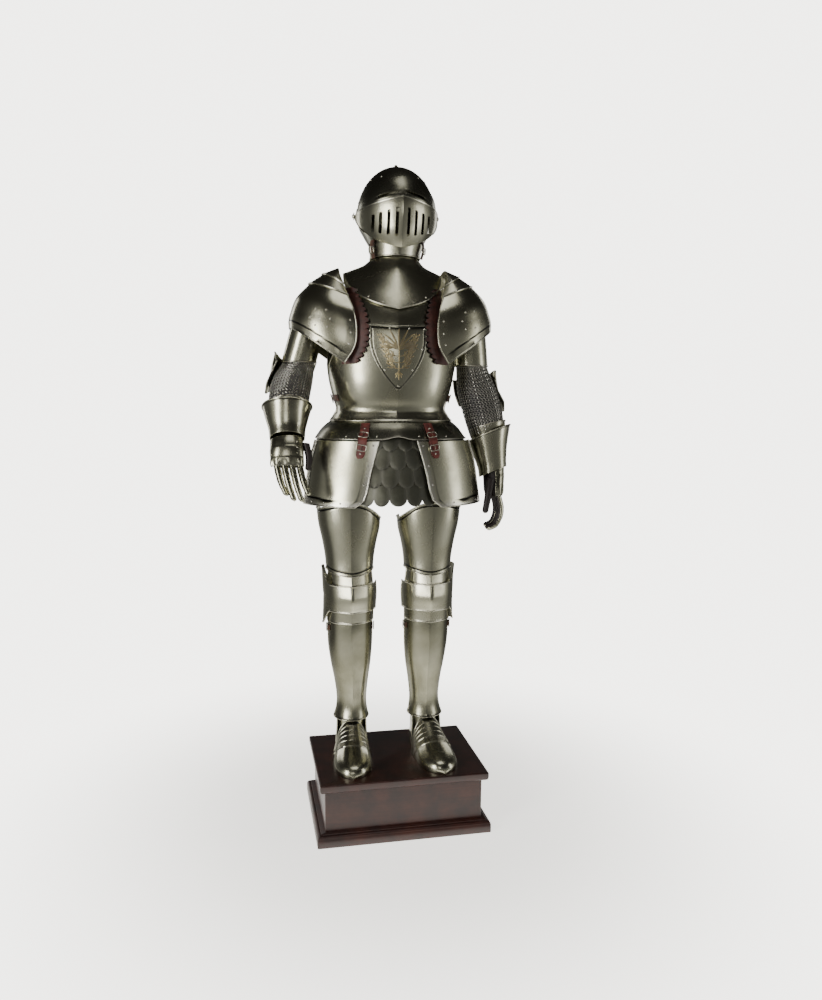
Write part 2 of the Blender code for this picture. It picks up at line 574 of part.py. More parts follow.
def build_thigh(suit, side, tag):
    """A cuisse, open at the back, whose upper rim dips at the inner and outer side."""
    rows, columns = 6, 15
    rings = through(out_from_middle(CUISSE, side), rows)
    turns = spread(-CUISSE_HALF, CUISSE_HALF, columns, rows)
    cuisse = section(rings, turns)
    climb = np.linspace(0.0, 1.0, rows)[:, None]
    inner = np.sin(np.clip(-turns * side, 0, math.pi / 2)) ** 2
    outer = np.sin(np.clip(turns * side, 0, math.pi / 2)) ** 2
    cuisse[..., 2] -= climb ** 2 * (CUISSE_DIP_INNER * inner + CUISSE_DIP_OUTER * outer)
    cuisse[..., 2] += (1 - climb) ** 2 * 0.016 * np.abs(np.sin(turns)) ** 2
    suit.wall("cuisse" + tag, cuisse, "bright_steel")

    turns = spread(math.radians(18 * side) - 0.16, math.radians(18 * side) + 0.16, 3, 6)
    strap_rings = through(out_from_middle(HANGER, side), 6)
    suit.wall("cuisse_hanger" + tag, section(strap_rings, turns), "brown_leather", LEATHER)


def trunk_limits(rings, lowest, highest, narrow):
    """Half angle of the breast or back in each row: all the way to the side seam below the arm,
    then cut in round the armhole."""
    rise = step(rings[:, 2], lowest, highest)
    return math.pi / 2 * (1 - rise) + narrow * rise


def build_trunk(suit):
    """Breast and back, with armholes, and the shield-shaped plate on the breast."""
    rows, columns = TRUNK_ROWS, 17
    rings = through(TRUNK, rows)
    half = trunk_limits(rings, *BREAST_ARMHOLE) - TRUNK_SEAM
    suit.wall("breastplate", section(rings, spread(-half, half, columns, rows)), "bright_steel")
    half = trunk_limits(rings, *BACK_ARMHOLE) - TRUNK_SEAM
    suit.wall("backplate", section(rings, spread(math.pi - half, math.pi + half, columns, rows)),
              "bright_steel")

    levels = np.linspace(SHIELD_LOW, SHIELD_HIGH, 9)
    shield = np.array([read_at(rings, level) for level in levels])
    climb = np.linspace(0.0, 1.0, 9)
    reach = SHIELD_REACH * np.sin(np.clip(climb * 1.25 + 0.05, 0, 1) * math.pi / 2) ** 0.85
    half = np.arcsin(np.clip(reach / shield[:, 3], 0, 1) ** (shield[:, 6] / 2))
    face = section(shield, spread(-half, half, 9, 9), PLATE + 3 * GAP + 0.0022 * climb[:, None])
    face[..., 2] -= 0.006 * climb[:, None] ** 4 * (1 - np.abs(np.linspace(-1, 1, 9))[None, :])
    suit.wall("shield_plate", face, "etched_brass")


def build_waist(suit):
    """Fauld, two tassets on red straps, and the skirt of scales beneath them."""
    rows = 4
    rings = through(FAULD, rows)
    seam = FAULD_SEAM
    front = section(rings, spread(-math.pi / 2 + seam, math.pi / 2 - seam, 17, rows))
    arch = np.exp(-((front[..., 0] - 0.002) / 0.030) ** 2)
    front[..., 2] += 0.010 * arch * np.linspace(1.0, 0.0, rows)[:, None] ** 2
    suit.wall("fauld_front", front, "dark_steel")
    back = section(rings, spread(math.pi / 2 + seam, 1.5 * math.pi - seam, 13, rows))
    suit.wall("fauld_back", back, "dark_steel")

    for side, tag in ((-1, "_l"), (1, "_r")):
        build_tasset(suit, side, tag)

    suit.wall("scale_skirt", skirt_face(), "dark_steel", ring=True)


def skirt_face():
    """Rows of scales. Each row starts on tongues that stand out, leans in towards its top, and ends
    just below the tongues of the next row, so that the rows overlap like tiles."""
    columns = 2 * SCALES_ROUND
    table = np.array(SKIRT)
    lines = np.linspace(table[0, 2], table[-1, 2], SCALE_ROWS + 1)
    turns = np.linspace(0.0, 2 * math.pi, columns, endpoint=False)[None, :]
    face = []
    for row in range(SCALE_ROWS):
        tongue = (np.arange(columns) + row) % 2
        foot = section(read_at(table, lines[row])[None, :], turns, SCALE_LAP)[0]
        foot[:, 2] -= SCALE_DEPTH * tongue
        top_line = lines[row + 1] - (SCALE_DEPTH + 0.001) * (row < SCALE_ROWS - 1)
        top = section(read_at(table, top_line)[None, :], turns)[0]
        face += [foot, top]
    return np.array(face)


def tasset_inner(climb):
    """Distance of a tasset's inner edge from the middle, bottom to top."""
    return np.interp(climb, [0.0, 0.12, 0.25, 0.5, 1.0], [0.128, 0.100, 0.092, 0.082, 0.055])


def build_tasset(suit, side, tag):
    """One wrapped plate, rounded at its lower inner corner, and its red strap."""
    rows, columns = 7, 9
    rings = through(TASSET, rows)
    climb = np.linspace(0.0, 1.0, rows)
    inner = np.arcsin((tasset_inner(climb) / rings[:, 3]) ** (rings[:, 6] / 2))
    outer = TASSET_END + 0.0 * climb
    if side > 0:
        plate = section(rings, spread(inner, outer, columns, rows))
    else:
        plate = section(rings, spread(-outer, -inner, columns, rows))
    suit.wall("tasset" + tag, plate, "bright_steel")

    tassets, faulds = np.array(TASSET), np.array(FAULD)
    strap = []
    for level, middle, lift in TASSET_STRAP:
        ring = read_at(tassets if level < 1.2050 else faulds, level)
        half = STRAP_TIP if level == TASSET_STRAP[0][0] else STRAP_HALF
        across = np.array([middle - half, middle, middle + half]) * side
        order = across if side > 0 else across[::-1]
        angle = np.sign(order) * np.arcsin((np.abs(order) / ring[3]) ** (ring[6] / 2))
        strap.append(section(ring[None, :], angle[None, :], LEATHER + 2 * GAP + lift)[0])
    suit.wall("tasset_strap" + tag, np.array(strap), "red_leather", LEATHER)


def build_neck(suit):
    """Gorget in a front and a back, with a collar round the neck above them."""
    rows = 5
    rings = through(GORGET, rows)
    seam = GORGET_SEAM
    front = section(rings, spread(-math.pi / 2 + seam, math.pi / 2 - seam, 13, rows))
    suit.wall("gorget_front", front, "bright_steel")
    rings[:, 8] *= GORGET_BACK
    back = section(rings, spread(math.pi / 2 + seam, 1.5 * math.pi - seam, 11, rows))
    suit.wall("gorget_back", back, "bright_steel")
    rings = through(COLLAR, 3)
    turns = spread(0.0, 2 * math.pi * 19 / 20, 20, 3)
    turns = np.where(turns > math.pi, turns - 2 * math.pi, turns)
    suit.wall("gorget_collar", section(rings, turns), "bright_steel", ring=True)


def shoulder_face(rows, side, columns):
    """Shoulder arches. Each row runs from its front end over the crest to a like back end:
    x and z go from end to crest with cos, y with sin, both to the power 0.9."""
    crest_x, crest_z, end_x, end_y, end_z = (column[:, None] for column in rows.T)
    turns = np.linspace(-1.0, 1.0, columns)[None, :] * math.pi / 2
    bulge = np.abs(np.cos(turns)) ** 0.9
    along = np.sign(turns) * np.abs(np.sin(turns)) ** 0.9
    x = end_x + (crest_x - end_x) * bulge
    z = end_z + (crest_z - end_z) * bulge
    back_share = np.where(along > 0, 0.93, 1.0)
    return np.stack([side * x, end_y * along * back_share, z], axis=-1)


def lift_out(rows, amount):
    """Shoulder rows moved out by a step, so that a lame lies over the next."""
    lifted = np.array(rows, float)
    lifted[:, 0] += amount * 0.6
    lifted[:, 1] += amount * 0.8
    lifted[:, 2] -= amount * 0.6
    lifted[:, 3] += amount
    return lifted


def build_shoulder(suit, side, tag):
    """Two upper lames, the main plate and the scalloped leather edging at its front."""
    table = np.array(SHOULDER)
    parts = [("pauldron_lame_1", table[0:2], 2, 2 * SHOULDER_STEP),
             ("pauldron_lame_2", table[1:3], 2, SHOULDER_STEP), ("pauldron_main", table[2:], 7, 0.0)]
    for name, rows, count, lift in parts:
        lower = through(lift_out(rows, lift), count)
        if name != "pauldron_main":
            lower[-1] += (lower[-1] - lower[-2]) * 0.16
        face = shoulder_face(lower, side, 17)
        suit.wall(name + tag, face[::-1] if side > 0 else face, "bright_steel")

    count = 33
    edge = through(table[2:], count + 4)[4:, 2:5]
    length = np.concatenate([[0], np.cumsum(np.linalg.norm(np.diff(edge, axis=0), axis=1))])
    wave = np.abs(np.sin(math.pi * length / SCALLOP))
    inward = (EDGING_WIDE - 0.005 + 0.005 * wave)[:, None] * np.array([[1.0, 0.55, 0.0]])
    columns = []
    for place in (1.0, -0.30):
        x = side * (edge[:, 0] - inward[:, 0] * place)
        ahead = trunk_front(x, edge[:, 2]) + EDGING_LIFT
        columns.append(np.stack([x, -ahead, edge[:, 2]], axis=-1))
    grid = np.stack(columns, axis=1)[::-1]
    suit.wall("pauldron_edging" + tag, grid if side > 0 else grid[:, ::-1], "red_leather", LEATHER)


def trunk_front(x, z):
    """How far ahead the breastplate's face lies at a distance from its middle and a height."""
    rings = through(TRUNK, TRUNK_ROWS)
    middle, wide, ahead, square = (np.interp(z, rings[:, 2], rings[:, k]) for k in (0, 3, 4, 6))
    share = np.clip(np.abs(x - middle) / wide, 0, 1) ** square
    return ahead * (1 - share) ** (1 / square)


def build_arm(suit, side, tag):
    """Upper arm tube, mail at the elbow, elbow cop with its wing, and the gauntlet."""
    full = 2 * math.pi
    turns = spread(0.0, full * 13 / 14, 14, 3)
    suit.wall("rerebrace" + tag, section(through(UPPER_ARM[side], 3), turns), "bright_steel", ring=True)
    turns = spread(0.0, full * 13 / 14, 14, 5)
    suit.wall("mail_sleeve" + tag, section(through(MAIL_SLEEVE[side], 5), turns), "mail", MAIL, ring=True)
    suit.wall("gauntlet_cuff" + tag, section(through(CUFF[side], 5), turns), "bright_steel", ring=True)

    rows, columns = 5, 13
    table = through(ELBOW[side], rows)
    start, end = (COUTER_FROM, COUTER_TO) if side > 0 else (-COUTER_TO, -COUTER_FROM)
    turns = spread(start, end, columns, rows)
    cop = section(table, turns)
    middle = cop[2:3, :, 2]
    near = 1.0 - step(turns * side, math.radians(95), math.radians(150))
    tip = 1.0 - 0.45 * (1.0 - step(turns * side, math.radians(62), math.radians(84)))
    cop[..., 2] = middle + (cop[..., 2] - middle) * (0.78 + 0.62 * near) * tip
    cop[..., 0] += side * 0.0075 * near * np.abs(np.linspace(-1, 1, rows))[:, None]
    suit.wall("couter" + tag, cop, "bright_steel")

    rows, columns = 7, 9
    table = through(HAND[side], rows)
    face, cover = HAND_FACE[side], HAND_COVER
    narrow = cover * np.linspace(0.72, 1.0, rows)
    hand = section(table, spread(face - narrow, face + narrow, columns, rows), 0.0030)
    lame = np.tile([0.0012, 0.0], rows)[:rows, None]
    hand[..., 0] += np.sin(face) * lame
    hand[..., 1] -= np.cos(face) * lame
    suit.wall("gauntlet_hand" + tag, hand, "bright_steel")
    turns = spread(0.0, full * 11 / 12, 12, rows)
    glove = section(table, turns, -0.0012)
    suit.wall("glove" + tag, glove, "black_leather", LEATHER, ring=True, cap="bottom")


def about_temple(wide, tall, low, high, rows, columns, ridge=0.0, reach=0.97):
    """A face turned about the temple axis. Its radius is tall * sqrt(1 - (x / wide) squared), with a
    ridge in the middle. Rows go from the low to the high angle above the front. Points are measured
    from the axis."""
    lean = np.linspace(-reach, reach, columns)[None, :] * math.pi / 2
    x = wide * np.sin(lean)
    radius = tall * np.cos(lean) + ridge * np.clip(1 - np.abs(x) / 0.060, 0, None) ** 1.5
    share = np.linspace(0.0, 1.0, rows)[:, None]
    angle = low + (high - low) * share
    return np.stack([x + 0.0 * angle, -radius * np.cos(angle), radius * np.sin(angle)], axis=-1)


def build_helmet(suit):
    """Skull with an open face, and two shells that turn up on the temple axis."""
    climb = np.linspace(0.0, 1.0, 6)[1:]
    rise = np.sin(climb * 0.955 * math.pi / 2)
    level = np.cos(climb * 0.955 * math.pi / 2)
    lower = [(0.0, 0.0, -0.0820, 0.0830, 0.0980, 0.0980), (0.0, 0.0, -0.0600, 0.0960, 0.1120, 0.1120),
             (0.0, 0.0, -0.0300, 0.1120, 0.1320, 0.1360),
             (0.0, 0.0, 0.0000, SKULL_WIDE, SKULL_TALL, SKULL_BACK)]
    upper = [(0.0, 0.0, SKULL_TALL * r, SKULL_WIDE * c, SKULL_TALL * c, SKULL_BACK * c)
             for r, c in zip(rise, level)]
    tip = [(0.0, 0.0, SKULL_TALL + 0.0010, 0.0045, 0.0045, 0.0045),
           (0.0, 0.0, SKULL_TALL + 0.0110, 0.0012, 0.0012, 0.0012)]
    rings = np.array([row + (2.0, 0.0, 0.0, 0.0) for row in lower + upper + tip])
    turns = spread(0.0, 2 * math.pi * 19 / 20, 20, len(rings))
    skull = suit.wall("helmet_skull", section(rings, turns), "dark_steel", ring=True, cap="top",
                      parent=suit.temple)
    opening = suit.box("face_opening", FACE_OPENING, (0.0, -0.120, -0.0170), parent=suit.temple)
    suit.cut(skull, opening)

    degree = math.radians(1.0)
    visor = suit.wall("visor", about_temple(VISOR_WIDE, VISOR_TALL, -6 * degree, 37 * degree, 5, 19, 0.004),
                      "dark_steel", parent=suit.temple)
    long, tall, out, up, tilt = SIGHT
    for side, name in ((-1, "sight_cutter_l"), (1, "sight_cutter_r")):
        slit = suit.box(name, (long, CUTTER_DEEP, tall), (side * out, -VISOR_TALL, up),
                        parent=suit.temple, turn=(0.0, side * tilt, 0.0))
        suit.cut(visor, slit)
    face = about_temple(VENTAIL_WIDE, VENTAIL_TALL, -42 * degree, 6 * degree, 6, 19, VENTAIL_RIDGE)
    peak = np.clip(1 - np.abs(face[..., 0]) / 0.10, 0, None) * np.linspace(0, 1, 6)[:, None] ** 2
    angle = peak * math.radians(4.0)
    y, z = face[..., 1].copy(), face[..., 2].copy()
    face[..., 1] = y * np.cos(angle) + z * np.sin(angle)
    face[..., 2] = z * np.cos(angle) - y * np.sin(angle)
    ventail = suit.wall("ventail", face, "bright_steel", parent=suit.temple)
    for column, (reach, high, low) in enumerate(VENTAIL_SLOTS):
        for side in (-1, 1):
            size = (SLOT_WIDE, CUTTER_DEEP, high - low)
            place = (side * reach, -VENTAIL_TALL, (high + low) / 2)
            slot = suit.box("slot_cutter_%d_%s" % (column, "l" if side < 0 else "r"), size, place,
                            parent=suit.temple, turn=(0.0, 0.0, side * reach * SLOT_TURN))
            suit.cut(ventail, slot)


def build():
    """Every piece of the suit and its plinth."""
    suit = Suit()
    build_plinth(suit)
    build_trunk(suit)
    build_waist(suit)
    build_neck(suit)
    build_helmet(suit)
    for side, tag in ((-1, "_l"), (1, "_r")):
        build_foot(suit, side, tag)
        build_lower_leg(suit, side, tag)
        build_knee(suit, side, tag)
        build_thigh(suit, side, tag)
        build_shoulder(suit, side, tag)
        build_arm(suit, side, tag)


build()
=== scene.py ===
"""The finished look of a hollow suit of plate armour that stands on a wooden plinth.

Metres, +Z up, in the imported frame. Plates are worked out in the suit's own frame, which stands a
little back on the plinth and is turned by three degrees. Rims and lines are given in millimetres.
"""
import math

import bpy
import numpy as np
from mathutils import Matrix, Vector


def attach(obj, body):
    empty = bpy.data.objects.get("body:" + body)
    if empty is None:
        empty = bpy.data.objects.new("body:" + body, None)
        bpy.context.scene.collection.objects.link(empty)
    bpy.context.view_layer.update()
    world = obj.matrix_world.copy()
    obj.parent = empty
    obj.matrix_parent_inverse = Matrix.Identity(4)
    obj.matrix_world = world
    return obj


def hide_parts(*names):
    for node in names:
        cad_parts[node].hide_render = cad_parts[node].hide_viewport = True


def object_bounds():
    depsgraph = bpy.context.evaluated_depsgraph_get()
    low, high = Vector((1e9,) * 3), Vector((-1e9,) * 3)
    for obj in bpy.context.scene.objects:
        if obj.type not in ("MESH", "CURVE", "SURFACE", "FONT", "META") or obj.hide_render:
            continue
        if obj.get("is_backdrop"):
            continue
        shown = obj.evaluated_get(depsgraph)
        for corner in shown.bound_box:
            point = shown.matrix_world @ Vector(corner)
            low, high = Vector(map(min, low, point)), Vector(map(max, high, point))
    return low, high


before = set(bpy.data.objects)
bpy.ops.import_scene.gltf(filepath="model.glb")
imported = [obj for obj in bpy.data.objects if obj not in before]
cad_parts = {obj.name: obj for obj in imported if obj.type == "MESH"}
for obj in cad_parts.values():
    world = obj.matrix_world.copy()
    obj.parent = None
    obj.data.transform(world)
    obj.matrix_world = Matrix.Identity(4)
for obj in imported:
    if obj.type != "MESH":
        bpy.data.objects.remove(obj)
cad_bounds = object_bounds()

MM = 0.001
PLATE = 1.6 * MM
LEATHER = 2.0 * MM
GAP = 0.3 * MM
SIDES = ((-1, "_l"), (1, "_r"))

# Plinth: width, depth and thickness of each board, from the bottom up, and its rounded corners and edges
BASE_SIZE = (0.536, 0.379, 0.039)
BOX_SIZE = (0.485, 0.329, 0.127)
TOP_SIZE = (0.518, 0.371, 0.027)
BOARD_CORNER = 3.0 * MM
BOARD_ROUND = 9 * MM
BOARD_NOSE = 4 * MM
SOLE = BASE_SIZE[2] + BOX_SIZE[2] + TOP_SIZE[2] + 3 * GAP

# Where the suit stands, and the middle lines of its trunk and its two legs
SUIT_PLACE = np.array([-0.008, 0.060, 0.0])
SUIT_TURN = math.radians(-3.0)
LEG_MIDDLE = -0.0035
TRUNK_MIDDLE = 0.002

# Helmet: the temple axis, the nested shells about it, and the share of a half turn that they lean over
TEMPLE = np.array([0.0145, 0.0, 1.870])
SKULL_WIDE, SKULL_TALL, SKULL_BACK = 0.1180, 0.1430, 0.1480
VISOR_WIDE, VISOR_TALL = 0.1215, 0.1475
VENTAIL_WIDE, VENTAIL_TALL = 0.1255, 0.1530
SHELL_LEAN = 0.97


def in_metres(*rows):
    """Rows of millimetres as an array in metres."""
    return np.array(rows, float) / 1000


def sections(*rows):
    """A section table. Its rows, from the bottom up, give in millimetres: x, y, z of the middle, half
    width, depth ahead, depth behind; then squareness (2 is an ellipse), ridge ahead in millimetres,
    rise per metre backwards, rise per metre to +X. Where a row is shorter, the rest is 2, 0, 0, 0."""
    table = np.tile([0.0, 0, 0, 0, 0, 0, 2, 0, 0, 0], (len(rows), 1))
    for row, numbers in zip(table, rows):
        row[:len(numbers)] = numbers
    table[:, [0, 1, 2, 3, 4, 5, 7]] /= 1000
    return table


# Visor and ventail: lower and upper edge in degrees above the front, and the ridge in their middle. The
# ventail's upper edge peaks by some degrees more.
VISOR_SPAN, VENTAIL_SPAN = (-6, 37, 0.004), (-42, 6, 0.009, 4.0)
# Skull rows below the temples: height, half width, depth ahead and behind. Finial: height above the
# crest, radius. Hinge boss: distance out from the middle, radius
SKULL_CHEEKS = in_metres((-82, 83, 98, 98), (-60, 96, 112, 112), (-30, 112, 132, 136))
FINIAL = in_metres((4, 3.8), (6, 5.4), (8, 5), (9.7, 3), (11, 0.4))
PIVOT = in_metres(
    (113, 4), (126.2, 4), (126.2, 10.5), (126.8, 11.2), (127.8, 11.2), (128.4, 10.4), (128.4, 6.6),
    (130, 6.2), (131.8, 4.8), (132.8, 2.4), (133.1, 0.3))
# Ventail slots: distance from the middle, top and bottom measured from the temple axis
SLOT_WIDE = 0.0088
VENTAIL_SLOTS = in_metres(
    (17, -4, -81), (40, -9, -76), (62, -14, -70), (82, -18, -64))
# Eye sights: inner and outer end, height at the inner end, fall and curve to either side, opening, and
# the share of the opening that is left at the ends
SIGHT_NEAR, SIGHT_FAR = 0.0095, 0.0705
SIGHT_TOP, SIGHT_FALL, SIGHT_CURVE, SIGHT_TALL, SIGHT_TIP = 0.0415, 0.145, 0.9, 0.0064, 0.12

# Trunk sections. A ridge is lifted by a factor, and dies away over a turn by a power.
RIDGE_LIFT, RIDGE_REACH, RIDGE_POWER = 1.4, 0.55, 2.2
TRUNK = sections(
    (2, 0, 1260, 190, 142, 122, 2.15, 3), (2, 0, 1279, 177, 135, 110, 2.15, 4),
    (2, 0, 1298, 169, 132, 104, 2.15, 5), (2, 0, 1333, 179, 145, 111, 2.2, 6),
    (2, 0, 1390, 192, 158, 122, 2.2, 6), (2, 0, 1450, 197, 162, 131, 2.2, 6),
    (2, 0, 1520, 193, 158, 137, 2.2, 5), (3, 0, 1580, 178, 143, 134, 2.15, 4),
    (4, 0, 1635, 150, 115, 118, 2.1, 2))
FAULD = sections(
    (2, 0, 1206, 236, 169, 150, 2.15, 3), (2, 0, 1238, 212, 154, 136, 2.15, 3),
    (2, 0, 1262, 184, 137, 117, 2.15, 3), (2, 0, 1285, 169, 129, 103, 2.15, 3))
SKIRT = sections(
    (2, 0, 1004, 268, 176, 180, 2.15), (2, 0, 1070, 260, 170, 172, 2.15),
    (2, 0, 1140, 250, 164, 162, 2.15), (2, 0, 1195, 234, 156, 150, 2.15),
    (2, 0, 1232, 208, 145, 130, 2.15))
TASSET = sections(
    (2, 0, 1008, 282, 195, 195, 2.15), (2, 0, 1070, 273, 189, 188, 2.15),
    (2, 0, 1140, 262, 182, 180, 2.15), (2, 0, 1203, 244, 173, 166, 2.15))
GORGET = sections(
    (4, 0, 1685, 150, 146, 138, 2, 6, 0.6), (6, 0, 1702, 120, 115, 110, 2, 4, 0.4),
    (9, 0, 1720, 92, 90, 88, 2, 3, 0.15), (12, 0, 1744, 72, 78, 74, 2, 3))
COLLAR = sections(
    (12, 0, 1745.5, 76, 83, 79, 2, 4), (13, 0, 1765, 78, 86, 80, 2, 4),
    (14, 0, 1780, 82, 90, 83, 2, 4), (14.5, 0, 1790, 80, 95, 78, 2, 4),
    (14.5, 0, 1802, 83.5, 109, 80, 2, 4))
# Half of the open seam between front and back plates
TRUNK_SEAM, FAULD_SEAM, GORGET_SEAM = (math.radians(turn) for turn in (0.12, 0.15, 0.4))
# Armholes of breast and back: heights where they start and are full, and the half turn left between
BREAST_CUT, BACK_CUT = (1.385, 1.530, math.radians(44)), (1.400, 1.560, math.radians(50))
# Arch in the fauld's lower edge: its rise and half width. Scales: height, and how many go round
FAULD_ARCH, FAULD_ARCH_HALF = 0.010, 0.030
SCALE_TALL, SCALES_ROUND = 0.062, 38
# Small straps: lower edge and width of the side and greave straps, the degrees that they reach to
# either side of a seam, and the lower end and height of the neck straps from the temple axis
SIDE_STRAP, GREAVE_STRAP, STRAP_REACH, NECK_STRAP = (1.318, 0.020), (0.598, 0.018), 21, (-0.128, 0.052)
# Shield-shaped plate: height of its point, its own height, half width, and how far its top stands off
SHIELD_LOW, SHIELD_TALL, SHIELD_WIDE, SHIELD_TILT = 1.352, 0.189, 0.082, 2.2 * MM

# Leg sections of the right-hand side of the picture, x measured outwards from the leg middle
GREAVE = sections(
    (120.5, 0, 307, 56, 57, 56, 2, 2), (119.5, 2, 335, 48.5, 50, 52, 2, 3),
    (119, 3, 370, 46, 48, 52, 2, 4), (119.5, 5, 425, 52, 53, 62, 2, 5),
    (121, 6, 485, 62, 60, 72, 2, 6), (123, 4, 550, 69, 64, 74, 2, 6),
    (123.5, 0, 610, 70, 66, 66, 2, 5), (123.5, 0, 650, 69, 66, 60, 2, 4))
KNEE = sections(
    (123.5, 0, 660, 77, 80, 70, 2, 6), (123.5, 0, 680, 78, 86, 72, 2, 7),
    (123.5, 0, 715, 80, 92, 72, 2, 8), (124, 0, 750, 79, 86, 72, 2, 7),
    (124.5, 0, 760, 78, 84, 72, 2, 6))
KNEE_LAME_LOW = sections(
    (123.5, 0, 628, 73, 72.5, 70, 2, 5), (123.5, 0, 676, 73.5, 77.5, 70, 2, 5))
KNEE_LAME_HIGH = sections(
    (124, 0, 748, 72.5, 78, 70, 2, 6), (124.5, 0, 798, 68, 70.5, 70, 2, 5))
CUISSE = sections(
    (124.5, 0, 779, 74.5, 77.5, 76, 2.05, 4), (125, 0, 830, 78, 79, 81, 2.05, 5),
    (125.5, 0, 890, 86, 86, 88, 2.1, 5), (126.5, 0, 950, 96, 92, 95, 2.15, 5),
    (127.5, 0, 1013, 101, 96, 98, 2.2, 4))
HEEL = sections(
    (120, -34, 194.2, 49, 30, 100, 2.3), (120, -34, 235, 50, 30, 98, 2.3),
    (120, -30, 270, 47, 30, 84, 2.2), (120, -26, 304, 46, 30, 76, 2.1))
# Knee cop: height of its middle, half height of its band, what the fan adds and the fan's end takes off
POLEYN_MIDDLE, POLEYN_HALF, POLEYN_FAN, POLEYN_END = 0.7110, 0.0440, 0.0480, 0.0414
# Cuisse: how far its upper rim dips on the inner and on the outer side, and its lower rim's arch
CUISSE_INNER, CUISSE_OUTER, CUISSE_ARCH = 0.055, 0.022, 0.016
# Foot: place ahead of the ankle, half width, height, and how far the arch bows ahead
FOOT = in_metres(
    (36, 49, 108, 4), (43, 51, 98, 12), (51, 53.5, 89, 19), (60, 56, 80, 26), (73, 59, 71, 31),
    (90, 61, 64, 34))
TOE = in_metres(
    (91.2, 61, 63.5, 34), (128, 62, 53, 30), (168, 57, 42, 22), (197, 45, 32, 14),
    (216.5, 27, 19, 7), (226.2, 5, 5, 1), (228, 0.6, 0.6, 0))
# What a foot lame adds to its lower and to its upper row, so that each lies over the next
LAME_UNDER, LAME_OVER = in_metres((4, -0.6, -1.2, 0), (0, 1.8, 2.0, 0))
# Tube that the hanger strap is a slice of, from inside the cuisse's rim up inside the fauld
HANGER = sections(
    (124, 0, 950, 90, 88, 90), (115, 0, 1030, 90, 92, 90), (90, 0, 1150, 90, 106, 90),
    (75, 0, 1275, 90, 108, 90))
# Tube that closes the foot below the greave, measured from the ankle
ANKLE = sections(
    (0, 4, 210, 44, 36, 44), (0, 4, 270, 45, 38, 45), (0, 4, 316, 44, 37, 45))
ANKLE_OUT = 0.1200
TOE_OUT = {-1: math.radians(3.0), 1: math.radians(7.0)}

# Arm sections in the suit's own x, one table a side, because the two arms hang differently
UPPER_ARM = {
    -1: sections(
        (-282, 4, 1435, 53, 54, 54), (-262, 2, 1505, 53, 56, 56), (-240, 0, 1585, 52, 58, 58)),
    1: sections(
        (256, 4, 1428, 53, 54, 54), (248, 2, 1500, 54, 56, 56), (238, 0, 1585, 53, 58, 58)),
}
MAIL_SLEEVE = {
    -1: sections(
        (-316, -50, 1290, 54, 50, 50, 2, 0, -0.55), (-311, -30, 1335, 59, 56, 54, 2, 0, -0.45),
        (-300, -8, 1385, 58, 57, 56, 2, 0, -0.2), (-285, 2, 1428, 46.5, 47.5, 47.5),
        (-278, 3, 1460, 45, 46, 46)),
    1: sections(
        (314, 8, 1220, 50, 50, 50, 2, 0, -0.2, 0.25),
        (300, 6, 1275, 57, 56, 56, 2, 0, -0.15, 0.15), (278, 6, 1350, 60, 59, 57, 2, 0, -0.05),
        (260, 4, 1418, 47, 48, 48), (255, 3, 1452, 45.5, 46.5, 46.5)),
}
ELBOW = {
    -1: sections(
        (-312, -4, 1360, 65, 62, 64, 2, 0, -0.2), (-302, 6, 1405, 66, 62, 72, 2, 0, -0.1),
        (-285, 8, 1450, 61, 60, 64)),
    1: sections(
        (292, 12, 1300, 68, 64, 64, 2, 0, -0.1, 0.1),
        (279, 16, 1350, 69, 65, 73, 2, 0, -0.05, 0.05), (266, 12, 1400, 63, 62, 64)),
}
CUFF = {
    -1: sections(
        (-320, -104, 1208, 52, 40, 38, 2.1, 0, -0.6), (-320, -90, 1235, 55, 44, 43, 2.1, 0, -0.6),
        (-320, -70, 1270, 65, 58, 58, 2, 0, -0.55), (-319, -52, 1302, 75, 70, 70, 2, 0, -0.45)),
    1: sections(
        (330, -10, 1098, 43, 43, 43, 2.1, 0, -0.2, 0.38),
        (328, -6, 1128, 45, 46, 46, 2.1, 0, -0.2, 0.38),
        (324, 2, 1170, 54, 55, 55, 2, 0, -0.2, 0.38), (321, 10, 1222, 67, 66, 66, 2, 0, -0.2, 0.38)),
}
# Forearm tube between the mail and the gauntlet's cuff
FOREARM = {
    -1: sections(
        (-320, -82, 1250, 44, 40, 39, 2.1, 0, -0.58), (-318.5, -62, 1285, 52, 47, 46, 2, 0, -0.55),
        (-316, -50, 1308, 58.5, 54.5, 54, 2, 0, -0.55)),
    1: sections(
        (325, 0, 1150, 44, 44, 44, 2, 0, -0.2, 0.38), (320, 6, 1200, 51, 51, 51, 2, 0, -0.2, 0.32),
        (313, 8, 1245, 57.5, 56.5, 56.5, 2, 0, -0.2, 0.26)),
}
# Palm sections above the knuckles, and the turn of the middle of the back of the hand
PALM = {
    -1: sections(
        (-317, -152, 1130, 46, 15, 20, 2.4, 0, -0.3),
        (-319, -144, 1150, 48, 23, 29, 2.3, 0, -0.45),
        (-320, -128, 1175, 49, 30, 32, 2.2, 0, -0.55), (-320, -108, 1200, 48, 33, 33, 2.1, 0, -0.6)),
    1: sections(
        (327, -26, 1022, 20, 40, 40, 2.4, 0, -0.1, 0.1),
        (328, -24, 1048, 29, 41, 41, 2.2, 0, -0.15, 0.25),
        (330, -16, 1080, 32, 36.5, 36.5, 2.1, 0, -0.2, 0.38),
        (330.5, -8, 1112, 33, 34.5, 34.5, 2.1, 0, -0.2, 0.38)),
}
HAND_FACE = {-1: math.radians(-18.0), 1: math.radians(76.0)}
HAND_COVER = math.radians(80.0)
